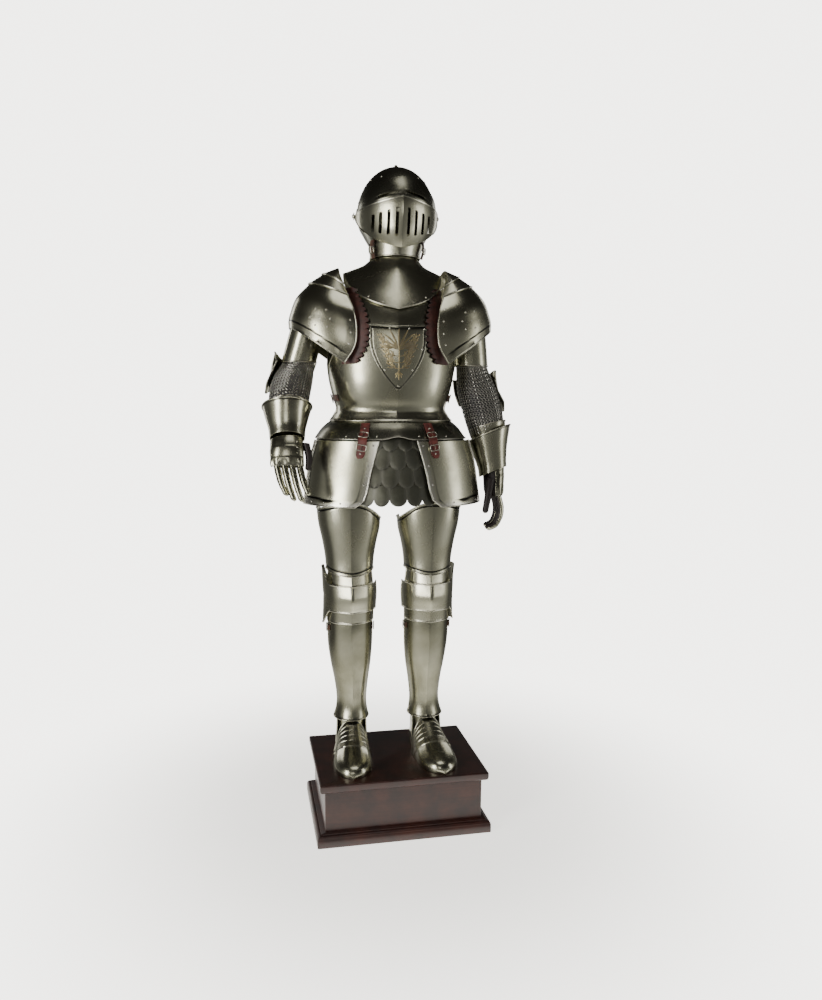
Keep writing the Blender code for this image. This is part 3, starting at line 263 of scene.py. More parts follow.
# Little, ring, middle and index finger and the thumb, from the knuckle to the tip, and the line of
# the knuckles
FINGERS = {
    -1: [
        in_metres((-351, -156, 1132), (-340, -173, 1086), (-323, -182, 1047)),
        in_metres((-330, -160, 1134), (-318, -183, 1080), (-302, -193, 1033)),
        in_metres((-308, -162, 1134), (-296, -188, 1080), (-280, -199, 1031)),
        in_metres((-286, -159, 1132), (-275, -183, 1086), (-261, -193, 1049)),
        in_metres((-266, -128, 1195), (-258, -144, 1152), (-262, -156, 1118)),
    ],
    1: [
        in_metres((337, 6, 1024), (345, 5, 976), (333, 4, 938), (306, 3, 924)),
        in_metres((338, -15, 1024), (348, -16, 974), (335, -17, 933), (306, -18, 919)),
        in_metres((338, -37, 1024), (347, -38, 974), (334, -39, 933), (304, -40, 920)),
        in_metres((336, -58, 1024), (344, -60, 978), (330, -61, 939), (302, -62, 926)),
        in_metres((312, -56, 1080), (298, -76, 1025), (290, -74, 973)),
    ],
}
FINGER_THICK, THUMB_THICK = 8.6 * MM, 11.5 * MM
KNUCKLE_LINE = {-1: (0.966, -0.259, 0.0), 1: (0.242, 0.970, 0.0)}
# Middles of the knuckles, as shares round the hand, and seams of the lames on the hand and the fingers
KNUCKLES = (0.14, 0.38, 0.62, 0.86)
HAND_SEAMS, FINGER_SEAMS = (0.34, 0.67), (0.0, 0.27, 0.50, 0.74, 1.0)

# Shoulder: crest x and z over the arm, then the front end x, y and z, from the neck outwards
SHOULDER = in_metres(
    (160, 1712, 163, 56, 1693), (208, 1693, 152, 86, 1658), (250, 1666, 140, 112, 1625),
    (288, 1626, 123, 140, 1575), (306, 1582, 117, 152, 1525), (312, 1556, 123, 156, 1475),
    (309, 1536, 152, 149, 1427))
SHOULDER_STEP = 0.0026
EDGING_WIDE, EDGING_LIFT, SCALLOP = 0.034, 0.0090, 0.018
# Seven rivets in a rosette on the main shoulder plate, as shares u and v
ROSETTE = np.array([(0.211, 0.626), (0.146, 0.648), (0.237, 0.463), (0.176, 0.492), (0.121, 0.528),
                    (0.197, 0.337), (0.135, 0.378)])

# Rolled rims: half a circle of this radius. Incised lines: a valley of this depth and half width.
RIM_ROLL = 2.1 * MM
LINE_DEPTH, LINE_WIDE = 0.9 * MM, 1.2 * MM
BORDER_RISE, BORDER_STEP = 0.6 * MM, 1.5 * MM
EDGE_CHAMFER, CREASE_HALF = 0.4 * MM, 1.6 * MM
# Polish of worn rims and how far it reaches in, and the painted shade in an incised line and its width
# over the line's
RIM_POLISH, RIM_WEAR, GROOVE_SHADE_AMOUNT, GROOVE_SHADE_WIDE = 0.55, 5 * MM, 2.4, 1.25
# Distances of grid lines from a rolled rim, from a plain rim, and to either side of an incised line
RIM_MARKS = np.array([0.0, 0.3, 0.9, 1.8, 2.7, 3.5, 4.1, 4.8, 6.0]) * MM
PLAIN_MARKS = np.array([0.0, 0.5, 1.5]) * MM
LINE_MARKS = np.array([-1.8, -0.9, 0.0, 0.9, 1.8]) * MM
SHARP_EDGE = math.radians(48.0)


def through(table, share):
    """Rows of a table read at shares of its length, on a cubic Hermite curve through the rows."""
    rows = np.asarray(table, float)
    place = np.asarray(share, float) * (len(rows) - 1)
    left = np.clip(place.astype(int), 0, len(rows) - 2)
    t = (place - left)[..., None]
    slope = np.gradient(rows, axis=0)
    start = (2 * t**3 - 3 * t**2 + 1) * rows[left] + (t**3 - 2 * t**2 + t) * slope[left]
    end = (3 * t**2 - 2 * t**3) * rows[left + 1] + (t**3 - t**2) * slope[left + 1]
    return start + end


def ring_at(table, height):
    """The row of a section table at a height: the share whose z is that height, read as above."""
    shares = np.linspace(0.0, 1.0, 80)
    return through(table, np.interp(height, through(table, shares)[:, 2], shares))


def section(rows, turns, grow=0.0):
    """Points on section rows. x = middle + width * sin, y = middle - depth * cos, each to the power
    2 / squareness, with a ridge that dies away from the front. Turns run from the front to +X."""
    mid_x, mid_y, mid_z, wide, ahead, behind, square, ridge, pitch, roll = np.moveaxis(rows, -1, 0)
    sine, cosine = np.sin(turns), np.cos(turns)
    power = 2.0 / square
    depth = np.where(cosine > 0, ahead, behind) + grow
    across = (wide + grow) * np.sign(sine) * np.abs(sine) ** power
    forward = depth * np.sign(cosine) * np.abs(cosine) ** power
    near = np.clip(1 - np.abs(turns) / RIDGE_REACH, 0, None)
    forward = forward + RIDGE_LIFT * ridge * near**RIDGE_POWER
    height = mid_z - pitch * forward + roll * across
    return xyz(mid_x + across, mid_y - forward, height)


def smooth(value, start, end):
    """Smooth rise from 0 to 1 between two values: 3 t squared - 2 t cubed."""
    t = np.clip((value - start) / (end - start), 0.0, 1.0)
    return t * t * (3 - 2 * t)


def hump(value, middle, half):
    """A bell: e to the power of minus the squared distance from the middle over the half width."""
    return np.exp(-(((value - middle) / half) ** 2))


def xyz(x, y, z):
    """Points from their coordinates."""
    return np.stack([x, y, z], axis=-1)


def unit(vectors):
    """Vectors at length one."""
    return vectors / np.linalg.norm(vectors, axis=-1, keepdims=True)


def whole_turn(count):
    """Even steps of a whole turn, from zero."""
    return np.arange(count) * 2 * math.pi / count


def mirrored(face, middle=0.0):
    """The face on the other side of the suit, wound so that it still points outwards."""
    return lambda u, v: face(1 - u, v) * (-1, 1, 1) + (2 * middle, 0, 0)


def on_side(face, side, middle=0.0):
    """A face of the right-hand side as it stands, or mirrored about a middle line for the other."""
    return face if side > 0 else mirrored(face, middle)


def between(stops, counts):
    """Even steps from each stop to the next. A stop is a number, or one value for each row."""
    stops = [np.asarray(stop, float)[..., None] for stop in stops]
    runs = [a + (b - a) * np.arange(n) / n for a, b, n in zip(stops, stops[1:], counts)]
    return np.concatenate(runs + [stops[-1]], axis=-1)


def lines_along(lengths, near, far, count, crease):
    """Shares where grid lines cross each length: at the marks beside both rims, and evenly between
    them, with two more lines close beside a crease in the middle."""
    start = near / lengths[:, None]
    end = 1 - far[::-1] / lengths[:, None]
    if crease:
        beside = CREASE_HALF / lengths
        stops = [start[:, -1], 0.5 - beside, 0.5 + 0 * beside, 0.5 + beside, end[:, 0]]
        inner = between(stops, [count // 2, 1, 1, count // 2])
    else:
        inner = between([start[:, -1], end[:, 0]], [count])
    return np.concatenate([start[:, :-1], inner, end[:, 1:]], axis=1)


def lengths_of(grid, axis):
    """Length of each line of a grid along one axis, and the distance of each point along it."""
    steps = np.linalg.norm(np.diff(grid, axis=axis), axis=-1)
    return steps.sum(axis=axis), steps.cumsum(axis=axis)


def outward(grid, ring):
    """Unit normals of a grid: the step to the next column crossed with the step to the next row."""
    if ring:
        across = np.roll(grid, -1, axis=1) - np.roll(grid, 1, axis=1)
    else:
        across = np.gradient(grid, axis=1)
    normal = np.cross(across, np.gradient(grid, axis=0))
    return normal / np.maximum(np.linalg.norm(normal, axis=-1, keepdims=True), 1e-12)


def grid_faces(rows, columns, ring, keep=None):
    """Corner numbers of a grid's cells. With ring, the last column joins the first."""
    index = np.arange(rows * columns).reshape(rows, columns)
    if ring:
        index = np.concatenate([index, index[:, :1]], axis=1)
    cells = np.stack([index[:-1, :-1], index[:-1, 1:], index[1:, 1:], index[1:, :-1]], axis=-1)
    return cells.reshape(-1, 4) if keep is None else cells[keep]


def walled(grid, thick, ring=False, keep=None, lift=0.0, polish_and_painted_light=0.0):
    """A wall from a grid: the outer face lifted off the grid by a relief, the inner face a thickness
    behind it, and a strip round every open edge. Gives points, corner numbers and polish."""
    rows, columns = grid.shape[:2]
    normal = outward(grid, ring)
    lift = np.broadcast_to(lift, (rows, columns))[..., None]
    outer = (grid + normal * lift).reshape(-1, 3)
    inner = (grid - normal * thick).reshape(-1, 3)
    faces = grid_faces(rows, columns, ring, keep)
    count = len(outer)
    starts, ends = faces.reshape(-1), np.roll(faces, -1, axis=1).reshape(-1)
    key = np.minimum(starts, ends) * count + np.maximum(starts, ends)
    _, first, seen = np.unique(key, return_index=True, return_counts=True)
    a, b = starts[first[seen == 1]], ends[first[seen == 1]]
    strip = np.stack([b, a, a + count, b + count], axis=-1)
    polish_and_painted_light = np.broadcast_to(polish_and_painted_light, (rows, columns)).reshape(-1)
    return (np.concatenate([outer, inner]), np.concatenate([faces, faces[:, ::-1] + count, strip]),
            np.concatenate([polish_and_painted_light, 0 * polish_and_painted_light]))


def plate(face, across, up, rims="lrtb", line=0.0, ring=False, thick=PLATE, crease=False,
          relief=None, border=0.0, roll=RIM_ROLL, holes=None):
    """A plate from face(u, v), with u across and v up. Named rims (left, right, top, bottom) are
    rolled, and a line is cut at a distance in from them. Relief adds height from u, v and points.
    Holes are given as lines u, the v of their lower and upper ends, which gaps between lines are
    open, and how many steps lie below, in and above them."""
    shares = np.linspace(0.0, 1.0, 33)
    coarse = face(*np.meshgrid(shares, shares))
    line_marks = line + LINE_MARKS if line else np.array([])

    def marks(side):
        if side not in rims:
            return PLAIN_MARKS
        return np.concatenate([RIM_MARKS if roll else PLAIN_MARKS, line_marks])

    low, high, left, right = (marks(side) for side in "btlr")
    row_length, column_length = lengths_of(coarse, 1)[0], lengths_of(coarse, 0)[0]
    v_even = lines_along(column_length.mean()[None], low, high, up, False)[0]
    if ring:
        u_even = np.arange(across) / across
        u = np.broadcast_to(u_even, (len(v_even), across))
    else:
        u_even = lines_along(row_length.mean()[None], left, right, across, crease)[0]
        u = lines_along(np.interp(v_even, shares, row_length), left, right, across, crease)
    v = lines_along(np.interp(u_even, shares, column_length), low, high, up, False).T
    keep = None
    if holes:
        spots, lower, upper, opened, counts = holes
        lengths = np.full(1, row_length.mean())
        u_even = np.concatenate([left / lengths, spots, 1 - right[::-1] / lengths])
        lengths = np.interp(u_even, shares, column_length)[:, None]
        start, end = low / lengths, 1 - high[::-1] / lengths
        ends = [np.interp(u_even, spots, edge) for edge in (lower, upper)]
        inner = between([start[:, -1], *ends, end[:, 0]], counts)
        v = np.concatenate([start[:, :-1], inner, end[:, 1:]], axis=1).T
        u = u_even + 0 * v
        keep = np.ones((len(v) - 1, len(u_even) - 1), bool)
        first = len(low) - 1 + counts[0]
        gone = np.zeros(len(u_even) - 1, bool)
        gone[len(left):len(left) + len(opened)] = opened
        keep[first:first + counts[1], gone] = False
    grid = face(u, v)

    zero = np.zeros(grid.shape[:2])
    upward, leftward = zero.copy(), zero.copy()
    upward[1:] = lengths_of(grid, 0)[1]
    leftward[:, 1:] = lengths_of(grid, 1)[1]
    away = {"b": upward, "t": upward[-1:] - upward, "l": leftward, "r": leftward[:, -1:] - leftward}
    sides = [away[side] for side in rims] or [zero + 1.0]
    edge = np.minimum.reduce(sides)
    ends = [away["b"], away["t"]] + ([] if ring else [away["l"], away["r"]])
    lift = -EDGE_CHAMFER * (np.minimum.reduce(ends) < EDGE_CHAMFER / 2)
    if roll and rims:
        lift = lift + roll * np.sqrt(np.clip(1 - (edge / roll - 1) ** 2, 0, None))
    if line:
        lift = lift - LINE_DEPTH * hump(edge, line, LINE_WIDE)
    if relief:
        lift = lift + relief(u, v, grid)
    polish_and_painted_light = RIM_POLISH * np.exp(-edge / RIM_WEAR)
    if border:
        band = 1 - smooth(edge, border - BORDER_STEP, border)
        lift = lift + BORDER_RISE * band
        polish_and_painted_light = np.maximum(polish_and_painted_light, band)
    # An incised line gets painted shade: the value falls below zero over the groove.
    if line:
        polish_and_painted_light = polish_and_painted_light - GROOVE_SHADE_AMOUNT * hump(edge, line, GROOVE_SHADE_WIDE * LINE_WIDE)
    return walled(grid, thick, ring, keep, lift, polish_and_painted_light)


def band(face, across, up, rims, line=0.0):
    """A strap or trim of leather from face(u, v), with its cut edges at the named rims."""
    return plate(face, across, up, rims, line, thick=LEATHER, roll=0.0)


def seat(face, u, v):
    """Points and outward normals of a face at places on it, by short steps to either side."""
    u, v = np.broadcast_arrays(np.asarray(u, float), np.asarray(v, float))
    step = 1e-3
    across = face(u + step, v) - face(u - step, v)
    up = face(u, v + step) - face(u, v - step)
    return face(u, v), unit(np.cross(across, up))


def beside(face, rim, inset, shares):
    """Seats at shares along one rim (left, right, top or bottom) of a face, an inset in from it."""
    shares = np.asarray(shares, float)
    steps = np.linspace(0.0, 1.0, 33)[:, None]
    run = (shares + 0 * steps, steps + 0 * shares)
    lengths = lengths_of(face(*(run if rim in "tb" else run[::-1])), 0)[0]
    depth = inset / lengths
    depth = depth if rim in "lb" else 1 - depth
    return seat(face, shares, depth) if rim in "tb" else seat(face, depth, shares)


def join(*parts):
    """Several meshes as one: points, corner numbers and polish in turn."""
    points, faces, polish_and_painted_light, start = [], [], [], 0
    for part_points, part_faces, part_polish_and_painted_light in parts:
        points.append(part_points)
        faces.append(part_faces + start)
        polish_and_painted_light.append(part_polish_and_painted_light)
        start += len(part_points)
    if len({block.shape[1] for block in faces}) > 1:
        faces = [block if block.shape[1] == 4 else np.c_[block, block[:, :1]] for block in faces]
    return np.concatenate(points), np.concatenate(faces), np.concatenate(polish_and_painted_light)


def fan(first, count):
    """Corner numbers that close a ring of points from its first one. Two corners are the same."""
    lid = np.arange(1, count - 1)
    return np.stack([first + 0 * lid, first + lid, first + lid + 1, first + 0 * lid], axis=-1)


def rivets(seats, radius=3.0 * MM, tall=1.9 * MM, segments=10):
    """Domed heads on their seats: rings of radius r * cos and height h * sin of the climb."""
    centres = np.concatenate([points.reshape(-1, 3) for points, _ in seats])
    normals = np.concatenate([normal.reshape(-1, 3) for _, normal in seats])
    helper = np.where(np.abs(normals[:, 2:]) < 0.9, [[0.0, 0.0, 1.0]], [[1.0, 0.0, 0.0]])
    side = unit(np.cross(helper, normals))
    other = np.cross(normals, side)
    climb = np.radians([-25.0, 0.0, 35.0, 65.0, 86.0])[:, None]
    turn = whole_turn(segments)
    x = radius * np.cos(climb) * np.cos(turn)
    y = radius * np.cos(climb) * np.sin(turn)
    z = tall * np.sin(climb) + 0 * turn
    local = xyz(x, y, z).reshape(-1, 3)
    basis = np.stack([side, other, normals], axis=1)
    points = centres[:, None, :] + np.einsum("kc,ncd->nkd", local, basis)
    faces = grid_faces(len(climb), segments, True)
    faces = np.concatenate([faces, fan((len(climb) - 1) * segments, segments)])
    starts = np.arange(len(centres))[:, None, None] * len(local)
    faces = (faces[None] + starts).reshape(-1, 4)
    points = points.reshape(-1, 3)
    return points, faces, np.full(len(points), 0.8)


def closed(grid):
    """A tube from a grid of rings, with a fan of corners over its first and its last ring."""
    rows, count = grid.shape[:2]
    faces = [grid_faces(rows, count, True), fan((rows - 1) * count, count), fan(0, count)[:, ::-1]]
    points = grid.reshape(-1, 3)
    return points, np.concatenate(faces), np.full(len(points), 0.5)


def wire(path, out, radius, around=8, loop=True):
    """Round wire along a path: radius * (cos * out + sin * side), with the side square to the path.
    Out is a direction that the path lies across. A loop joins its two ends."""
    path = np.asarray(path, float)
    ahead = np.roll(path, -1, 0) - np.roll(path, 1, 0) if loop else np.gradient(path, axis=0)
    side = unit(np.cross(ahead, out))
    lift = unit(np.cross(side, ahead))
    roll = whole_turn(around)
    ring = np.cos(roll)[None, :, None] * lift[:, None] + np.sin(roll)[None, :, None] * side[:, None]
    grid = path[:, None] + radius * ring
    if not loop:
        return closed(grid)
    index = np.arange(len(path) * around).reshape(len(path), around)
    right, below = np.roll(index, -1, axis=0), np.roll(index, -1, axis=1)
    faces = np.stack([index, below, np.roll(right, -1, axis=1), right], axis=-1).reshape(-1, 4)
    points = grid.reshape(-1, 3)
    return points, faces, np.full(len(points), 0.7)


def buckle(spot, wide, tall, rise=2.2 * MM, gauge=1.3 * MM):
    """A rectangular buckle on a seat, with rounded corners and its pin: a squared ellipse of wire,
    whose long side lies along the given direction."""
    centre, out, along = (np.asarray(v, float).reshape(3) for v in spot)
    side = unit(np.cross(out, along))
    along = np.cross(side, out)
    centre = centre + out * rise
    turn = whole_turn(28)
    c, s = np.cos(turn), np.sin(turn)
    x = wide / 2 * np.sign(c) * np.abs(c) ** 0.45
    y = tall / 2 * np.sign(s) * np.abs(s) ** 0.45
    frame_wire = wire(centre + x[:, None] * side + y[:, None] * along, out, gauge)
    reach = np.linspace(-0.52, 0.56, 6)[:, None] * tall
    pin = wire(centre + out * gauge + reach * along, out, gauge * 0.7, 6, False)
    return join(frame_wire, pin)


def upright_buckle(face, u, v, wide, tall):
    """A buckle on a face, whose tall side is upright."""
    return buckle((*seat(face, u, v), (0, 0, 1)), wide, tall)


def stand(points):
    """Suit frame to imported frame: turned about Z, then moved to its place on the plinth."""
    c, s = math.cos(SUIT_TURN), math.sin(SUIT_TURN)
    return points @ np.array([[c, s, 0.0], [-s, c, 0.0], [0.0, 0.0, 1.0]]) + SUIT_PLACE


def placed(name, data):
    """A new object of the scene, at the origin."""
    made = bpy.data.objects.new(name, data)
    bpy.context.scene.collection.objects.link(made)
    return made


def make(name, part, material, nodes=(), body="suit", place=stand):
    """A finished piece from points, corner numbers and polish, riding on its body."""
    points, faces, polish_and_painted_light = part
    mesh = bpy.data.meshes.new(name)
    corners = [list(dict.fromkeys(face)) for face in faces.tolist()]
    mesh.from_pydata(place(points).tolist(), [], corners)
    attribute = mesh.attributes.new("polish_and_painted_light", "FLOAT", "POINT")
    attribute.data.foreach_set("value", polish_and_painted_light.astype(np.float32))
    mesh.validate()
    mesh.shade_smooth()
    mesh.set_sharp_from_angle(angle=SHARP_EDGE)
    mesh.materials.append(material)
    piece = placed(name, mesh)
    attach(piece, body)
    if nodes:
        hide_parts(*nodes)
    return piece


# Colours that several finishes share: steel rubbed bright, the painted shade in an incised line,
# burnished leather edges, and the dark grain of the wood
RUBBED, GROOVE_SHADE, BURNISHED, DARK_GRAIN = "#DCD9D0", "#1B1A17", "#1C0E0B", "#1C0D0A"
# Sizes on the steel: patches of handling, freckles, and brush marks across and along. Real brush marks
# are finer than 0.1 mm and are drawn as coarse as they need to show.
PATCH_SIZE, FRECKLE_SIZE, BRUSH_WIDE, BRUSH_LONG = 90 * MM, 7 * MM, 0.8 * MM, 60 * MM


def linear(code):
    """An sRGB hex colour as linear red, green, blue and alpha."""
    parts = [int(code[k:k + 2], 16) / 255 for k in (1, 3, 5)]
    return tuple(p / 12.92 if p <= 0.04045 else ((p + 0.055) / 1.055) ** 2.4 for p in parts) + (1.0,)


def add(tree, kind, inputs=None, **settings):
    """Adds a shader node, sets its properties, and sets or links each of its inputs."""
    made = tree.nodes.new("ShaderNode" + kind)
    for key, value in settings.items():
        setattr(made, key, value)
    for key, value in (inputs or {}).items():
        if isinstance(value, bpy.types.NodeSocket):
            tree.links.new(value, made.inputs[key])
        else:
            made.inputs[key].default_value = value
    return made


def finish(name, slot, **sockets):
    """A material with its Principled shader and Object coordinates. The slot is not used."""
    made = bpy.data.materials.new(name)
    made.use_nodes = True
    tree = made.node_tree
    shader = tree.nodes["Principled BSDF"]
    for key, value in sockets.items():
        shader.inputs[key.replace("_", " ")].default_value = value
    return made, tree, shader, add(tree, "TexCoord").outputs["Object"]


def clouds(tree, place, size, detail=3.0, low=0.35, high=0.65):
    """Soft patches about one size across, in metres, spread between 0 and 1."""
    noise = add(tree, "TexNoise", {"Vector": place, "Scale": 1.0 / size, "Detail": detail})
    ranged = {"Value": noise.outputs["Fac"], "From Min": low, "From Max": high}
    return add(tree, "MapRange", ranged).outputs["Result"]


def streaks(tree, place, width, length):
    """Fine brush marks that run up and down: noise squeezed across and drawn out along Z."""
    scale = (1.0 / width, 1.0 / width, 1.0 / length)
    drawn = add(tree, "Mapping", {"Vector": place, "Scale": scale}).outputs["Vector"]
    return add(tree, "TexNoise", {"Vector": drawn, "Scale": 1.0, "Detail": 4.0}).outputs["Fac"]


def steel(name, slot, bright, dull, smoothest, roughest):
    """Sheet steel finished with a satin wheel. Vertical brush marks blur what it reflects, patches
    of handling dull it, rims and borders are polished brighter, and incised lines get painted shade."""
    made, tree, shader, place = finish(name, slot, Metallic=1.0)
    patches = clouds(tree, place, PATCH_SIZE)
    spots = clouds(tree, place, FRECKLE_SIZE, 4.0, 0.52, 0.80)
    marks = streaks(tree, place, BRUSH_WIDE, BRUSH_LONG)
    polish_and_painted_light = add(tree, "Attribute", attribute_name="polish_and_painted_light").outputs["Fac"]
    worn = {0: patches, 6: linear(dull), 7: linear(bright)}
    worn = add(tree, "Mix", worn, data_type="RGBA").outputs[2]
    freckled = add(tree, "Math", {0: spots, 1: 0.22}, operation="MULTIPLY").outputs[0]
    worn = add(tree, "Mix", {0: freckled, 6: worn, 7: linear(dull)}, data_type="RGBA").outputs[2]
    lit = add(tree, "Math", {0: polish_and_painted_light, 1: 0.65}, operation="MULTIPLY").outputs[0]
    # Where the value is below zero it is painted shade in an incised line, mixed towards a near black.
    line_shade = add(tree, "Math", {0: polish_and_painted_light, 1: -1.0}, operation="MULTIPLY").outputs[0]
    clean = add(tree, "Mix", {0: lit, 6: worn, 7: linear(RUBBED)}, data_type="RGBA").outputs[2]
    line_shaded = add(tree, "Mix", {0: line_shade, 6: clean, 7: linear(GROOVE_SHADE)}, data_type="RGBA").outputs[2]
    tree.links.new(line_shaded, shader.inputs["Base Color"])
    rough = add(tree, "MapRange", {"Value": patches, "To Min": roughest, "To Max": smoothest})
    brushed = add(tree, "MapRange", {"Value": marks, "To Min": -0.03, "To Max": 0.03})
    total = add(tree, "Math", {0: rough.outputs["Result"], 1: brushed.outputs["Result"]})
    tree.links.new(total.outputs[0], shader.inputs["Roughness"])
    bump = add(tree, "Bump", {"Height": marks, "Strength": 0.07, "Distance": 0.3 * MM})
    dents = add(tree, "Bump", {"Height": patches, "Strength": 0.10, "Distance": 0.6 * MM,
                               "Normal": bump.outputs["Normal"]})
    tree.links.new(dents.outputs["Normal"], shader.inputs["Normal"])
    return made


def leather(name, slot, light, dark, grain, burnish=(0.30, 0.55)):
    """Vegetable-tanned strap leather: pebbled grain, rubbed paler in patches, a low waxy gloss, and
    edges burnished dark."""
    made, tree, shader, place = finish(name, slot, Roughness=0.55)
    patches = clouds(tree, place, 0.018)
    polish_and_painted_light = add(tree, "Attribute", attribute_name="polish_and_painted_light").outputs["Fac"]
    edge = {"Value": polish_and_painted_light, "From Min": burnish[0], "From Max": burnish[1]}
    edge = add(tree, "MapRange", edge).outputs[0]
    tanned = {0: patches, 6: linear(dark), 7: linear(light)}
    tanned = add(tree, "Mix", tanned, data_type="RGBA").outputs[2]
    cut = add(tree, "Mix", {0: edge, 6: tanned, 7: linear(BURNISHED)}, data_type="RGBA").outputs[2]
    tree.links.new(cut, shader.inputs["Base Color"])
    pebbles = add(tree, "TexVoronoi", {"Vector": place, "Scale": 1.0 / grain})
    bump = add(tree, "Bump", {"Height": pebbles.outputs["Distance"], "Strength": 0.35,
                              "Distance": 0.4 * MM})
    tree.links.new(bump.outputs["Normal"], shader.inputs["Normal"])
    return made


def polished_wood(name, slot, light, dark):
    """Mahogany under a worn varnish: long dark grain along the boards, a blotchy red stain, and a
    low gloss that the pores break up. The grain runs along the longer side of each face."""
    made, tree, shader, place = finish(name, slot, Roughness=0.42, Coat_Weight=0.10, Coat_Roughness=0.20)
    long_x = add(tree, "Mapping", {"Vector": place, "Scale": (6.0, 150.0, 150.0)}).outputs[0]
    long_y = add(tree, "Mapping", {"Vector": place, "Scale": (150.0, 6.0, 150.0)}).outputs[0]
    normal = add(tree, "NewGeometry").outputs["True Normal"]
    facing = add(tree, "SeparateXYZ", {0: normal}).outputs["X"]
    side = add(tree, "Math", {0: facing}, operation="ABSOLUTE").outputs[0]
    side = add(tree, "Math", {0: side, 1: 0.7}, operation="GREATER_THAN").outputs[0]
    drawn = add(tree, "Mix", {0: side, 4: long_x, 5: long_y}, data_type="VECTOR").outputs[1]
    grain = add(tree, "TexNoise", {"Vector": drawn, "Scale": 1.0, "Detail": 6.0}).outputs["Fac"]
    grain = add(tree, "MapRange", {"Value": grain, "From Min": 0.3, "From Max": 0.7}).outputs[0]
    blotch = clouds(tree, place, 0.06, 4.0)
    stained = {0: blotch, 6: linear(dark), 7: linear(light)}
    stained = add(tree, "Mix", stained, data_type="RGBA").outputs[2]
    streaked = add(tree, "Math", {0: grain, 1: 0.45}, operation="MULTIPLY").outputs[0]
    grained = {0: streaked, 6: stained, 7: linear(DARK_GRAIN)}
    grained = add(tree, "Mix", grained, data_type="RGBA").outputs[2]
    tree.links.new(grained, shader.inputs["Base Color"])
    bump = add(tree, "Bump", {"Height": grain, "Strength": 0.15, "Distance": 0.3 * MM})
    tree.links.new(bump.outputs["Normal"], shader.inputs["Normal"])
    return made


# Wheel-polished plate: bright bands with soft edges, a little warm
satin_steel = steel("satin_polished_steel", "bright_steel", "#BDBBA6", "#A6A48E", 0.21, 0.28)
# Plate that has browned: the same bands, half as bright
browned_steel = steel("browned_steel", "dark_steel", "#8A897A", "#727163", 0.24, 0.31)
# Lower legs, greyer from handling
greave_steel = steel("handled_greave_steel", "bright_steel", "#A5A38F", "#8B8974", 0.20, 0.27)
# Scales of a dull, dark steel, with only their rims catching the light
scale_steel = steel("dark_scale_steel", "dark_steel", "#87877A", "#646458", 0.30, 0.40)
# Rivet heads of a dark steel read as dark dots on the bright borders
dark_heads = steel("dark_rivet_heads", "dark_steel", "#4A4945", "#33322F", 0.35, 0.45)
# Drawn wire: each ring is one bright glint over the dark lining
ring_steel = steel("drawn_steel_rings", "mail", "#B9B7AF", "#8F8D86", 0.24, 0.34)
# Etched and gilt brass: a matt, brownish gold
gilt = steel("etched_gilt_brass", "etched_brass", "#9E8A50", "#6A5A2C", 0.34, 0.46)
# Strap leathers, by their grain in millimetres, and the edging, a darker copy of the red leather as
# painted shade under the pauldron, whose burnished edge is broader: burnish widened by painted shade.
red_leather = leather("red_strap_leather", "red_leather", "#6E3027", "#471B15", 1.6 * MM)
shaded_edging_leather = leather("shaded_red_edging_leather", "red_leather", "#4E2820", "#341A14", 1.6 * MM,
                         burnish=(0.07, 0.14))
brown_leather = leather("brown_strap_leather", "brown_leather", "#5A3A26", "#352015", 1.6 * MM)
# Finer glove leather, which reads as a near black ground under the steel
black_leather = leather("black_glove_leather", "black_leather", "#24211F", "#100E0E", 1.2 * MM)
# Varnished mahogany: a dark red brown with a low gloss
mahogany = polished_wood("varnished_mahogany", "mahogany", "#3D1C12", "#26110B")


def rounded_board(size, floor, profile):
    """A board: the inset of each height of its profile, carried round a rectangle with small round
    corners, and closed above and below."""
    turn = np.radians(np.arange(0, 360, 15.0) + 7.5)
    x, y = (np.sign(way) * (side / 2 - BOARD_CORNER) + BOARD_CORNER * way
            for way, side in zip((np.cos(turn), np.sin(turn)), size))
    inset, height = (np.asarray(column, float)[:, None] for column in zip(*profile))
    rows = [x - inset * np.sign(x), y - inset * np.sign(y), floor + height + 0 * x]
    return closed(np.stack(rows, axis=-1))


def make_plinth():
    """Base board with a rounded and stepped upper edge, the box, and a top board over a cove."""
    turn = np.radians(np.linspace(0, 90, 9))
    r, nose = BOARD_ROUND, BOARD_NOSE
    base_tall, box_tall, top_tall = BASE_SIZE[2], BOX_SIZE[2], TOP_SIZE[2]
    box = [(0.0, 0.0), (0.0, box_tall)]
    base = [(1.5 * MM, 0.0), (0.0, 1.5 * MM), (0.0, base_tall - r - 4 * MM),
            *zip(r * (1 - np.cos(turn)) + 1 * MM, base_tall - r - 3 * MM + r * np.sin(turn)),
            (r + 3 * MM, base_tall - 3 * MM), (r + 3 * MM, base_tall - 0.6 * MM),
            (r + 3.6 * MM, base_tall)]
    top = [(r + 4 * MM, 0.0), *zip(r * (1 - np.sin(turn)) + 0.6 * MM, r * (1 - np.cos(turn)) + 0.5 * MM),
           (0.0, r + 2.5 * MM), (0.0, top_tall - nose),
           *zip(nose * (1 - np.cos(turn)), top_tall - nose + nose * np.sin(turn))]
    floor = 0.0
    for name, node, size, profile in (("plinth_base_board", "plinth_base", BASE_SIZE, base),
                                      ("plinth_box_sides", "plinth_box", BOX_SIZE, box),
                                      ("plinth_top_board", "plinth_top", TOP_SIZE, top)):
        make(name, rounded_board(size, floor, profile), mahogany, [node], place=np.asarray)
        floor += size[2] + GAP


def trunk_face(lowest, highest, narrow, middle):
    """Breast or back: turns of the trunk sections, as far as the side seam below the arm, and cut in
    round the armhole above it."""
    def face(u, v):
        rows = through(TRUNK, v)
        rise = smooth(rows[..., 2], lowest, highest)
        half = math.pi / 2 * (1 - rise) + narrow * rise - TRUNK_SEAM
        return section(rows, middle + (2 * u - 1) * half)
    return face


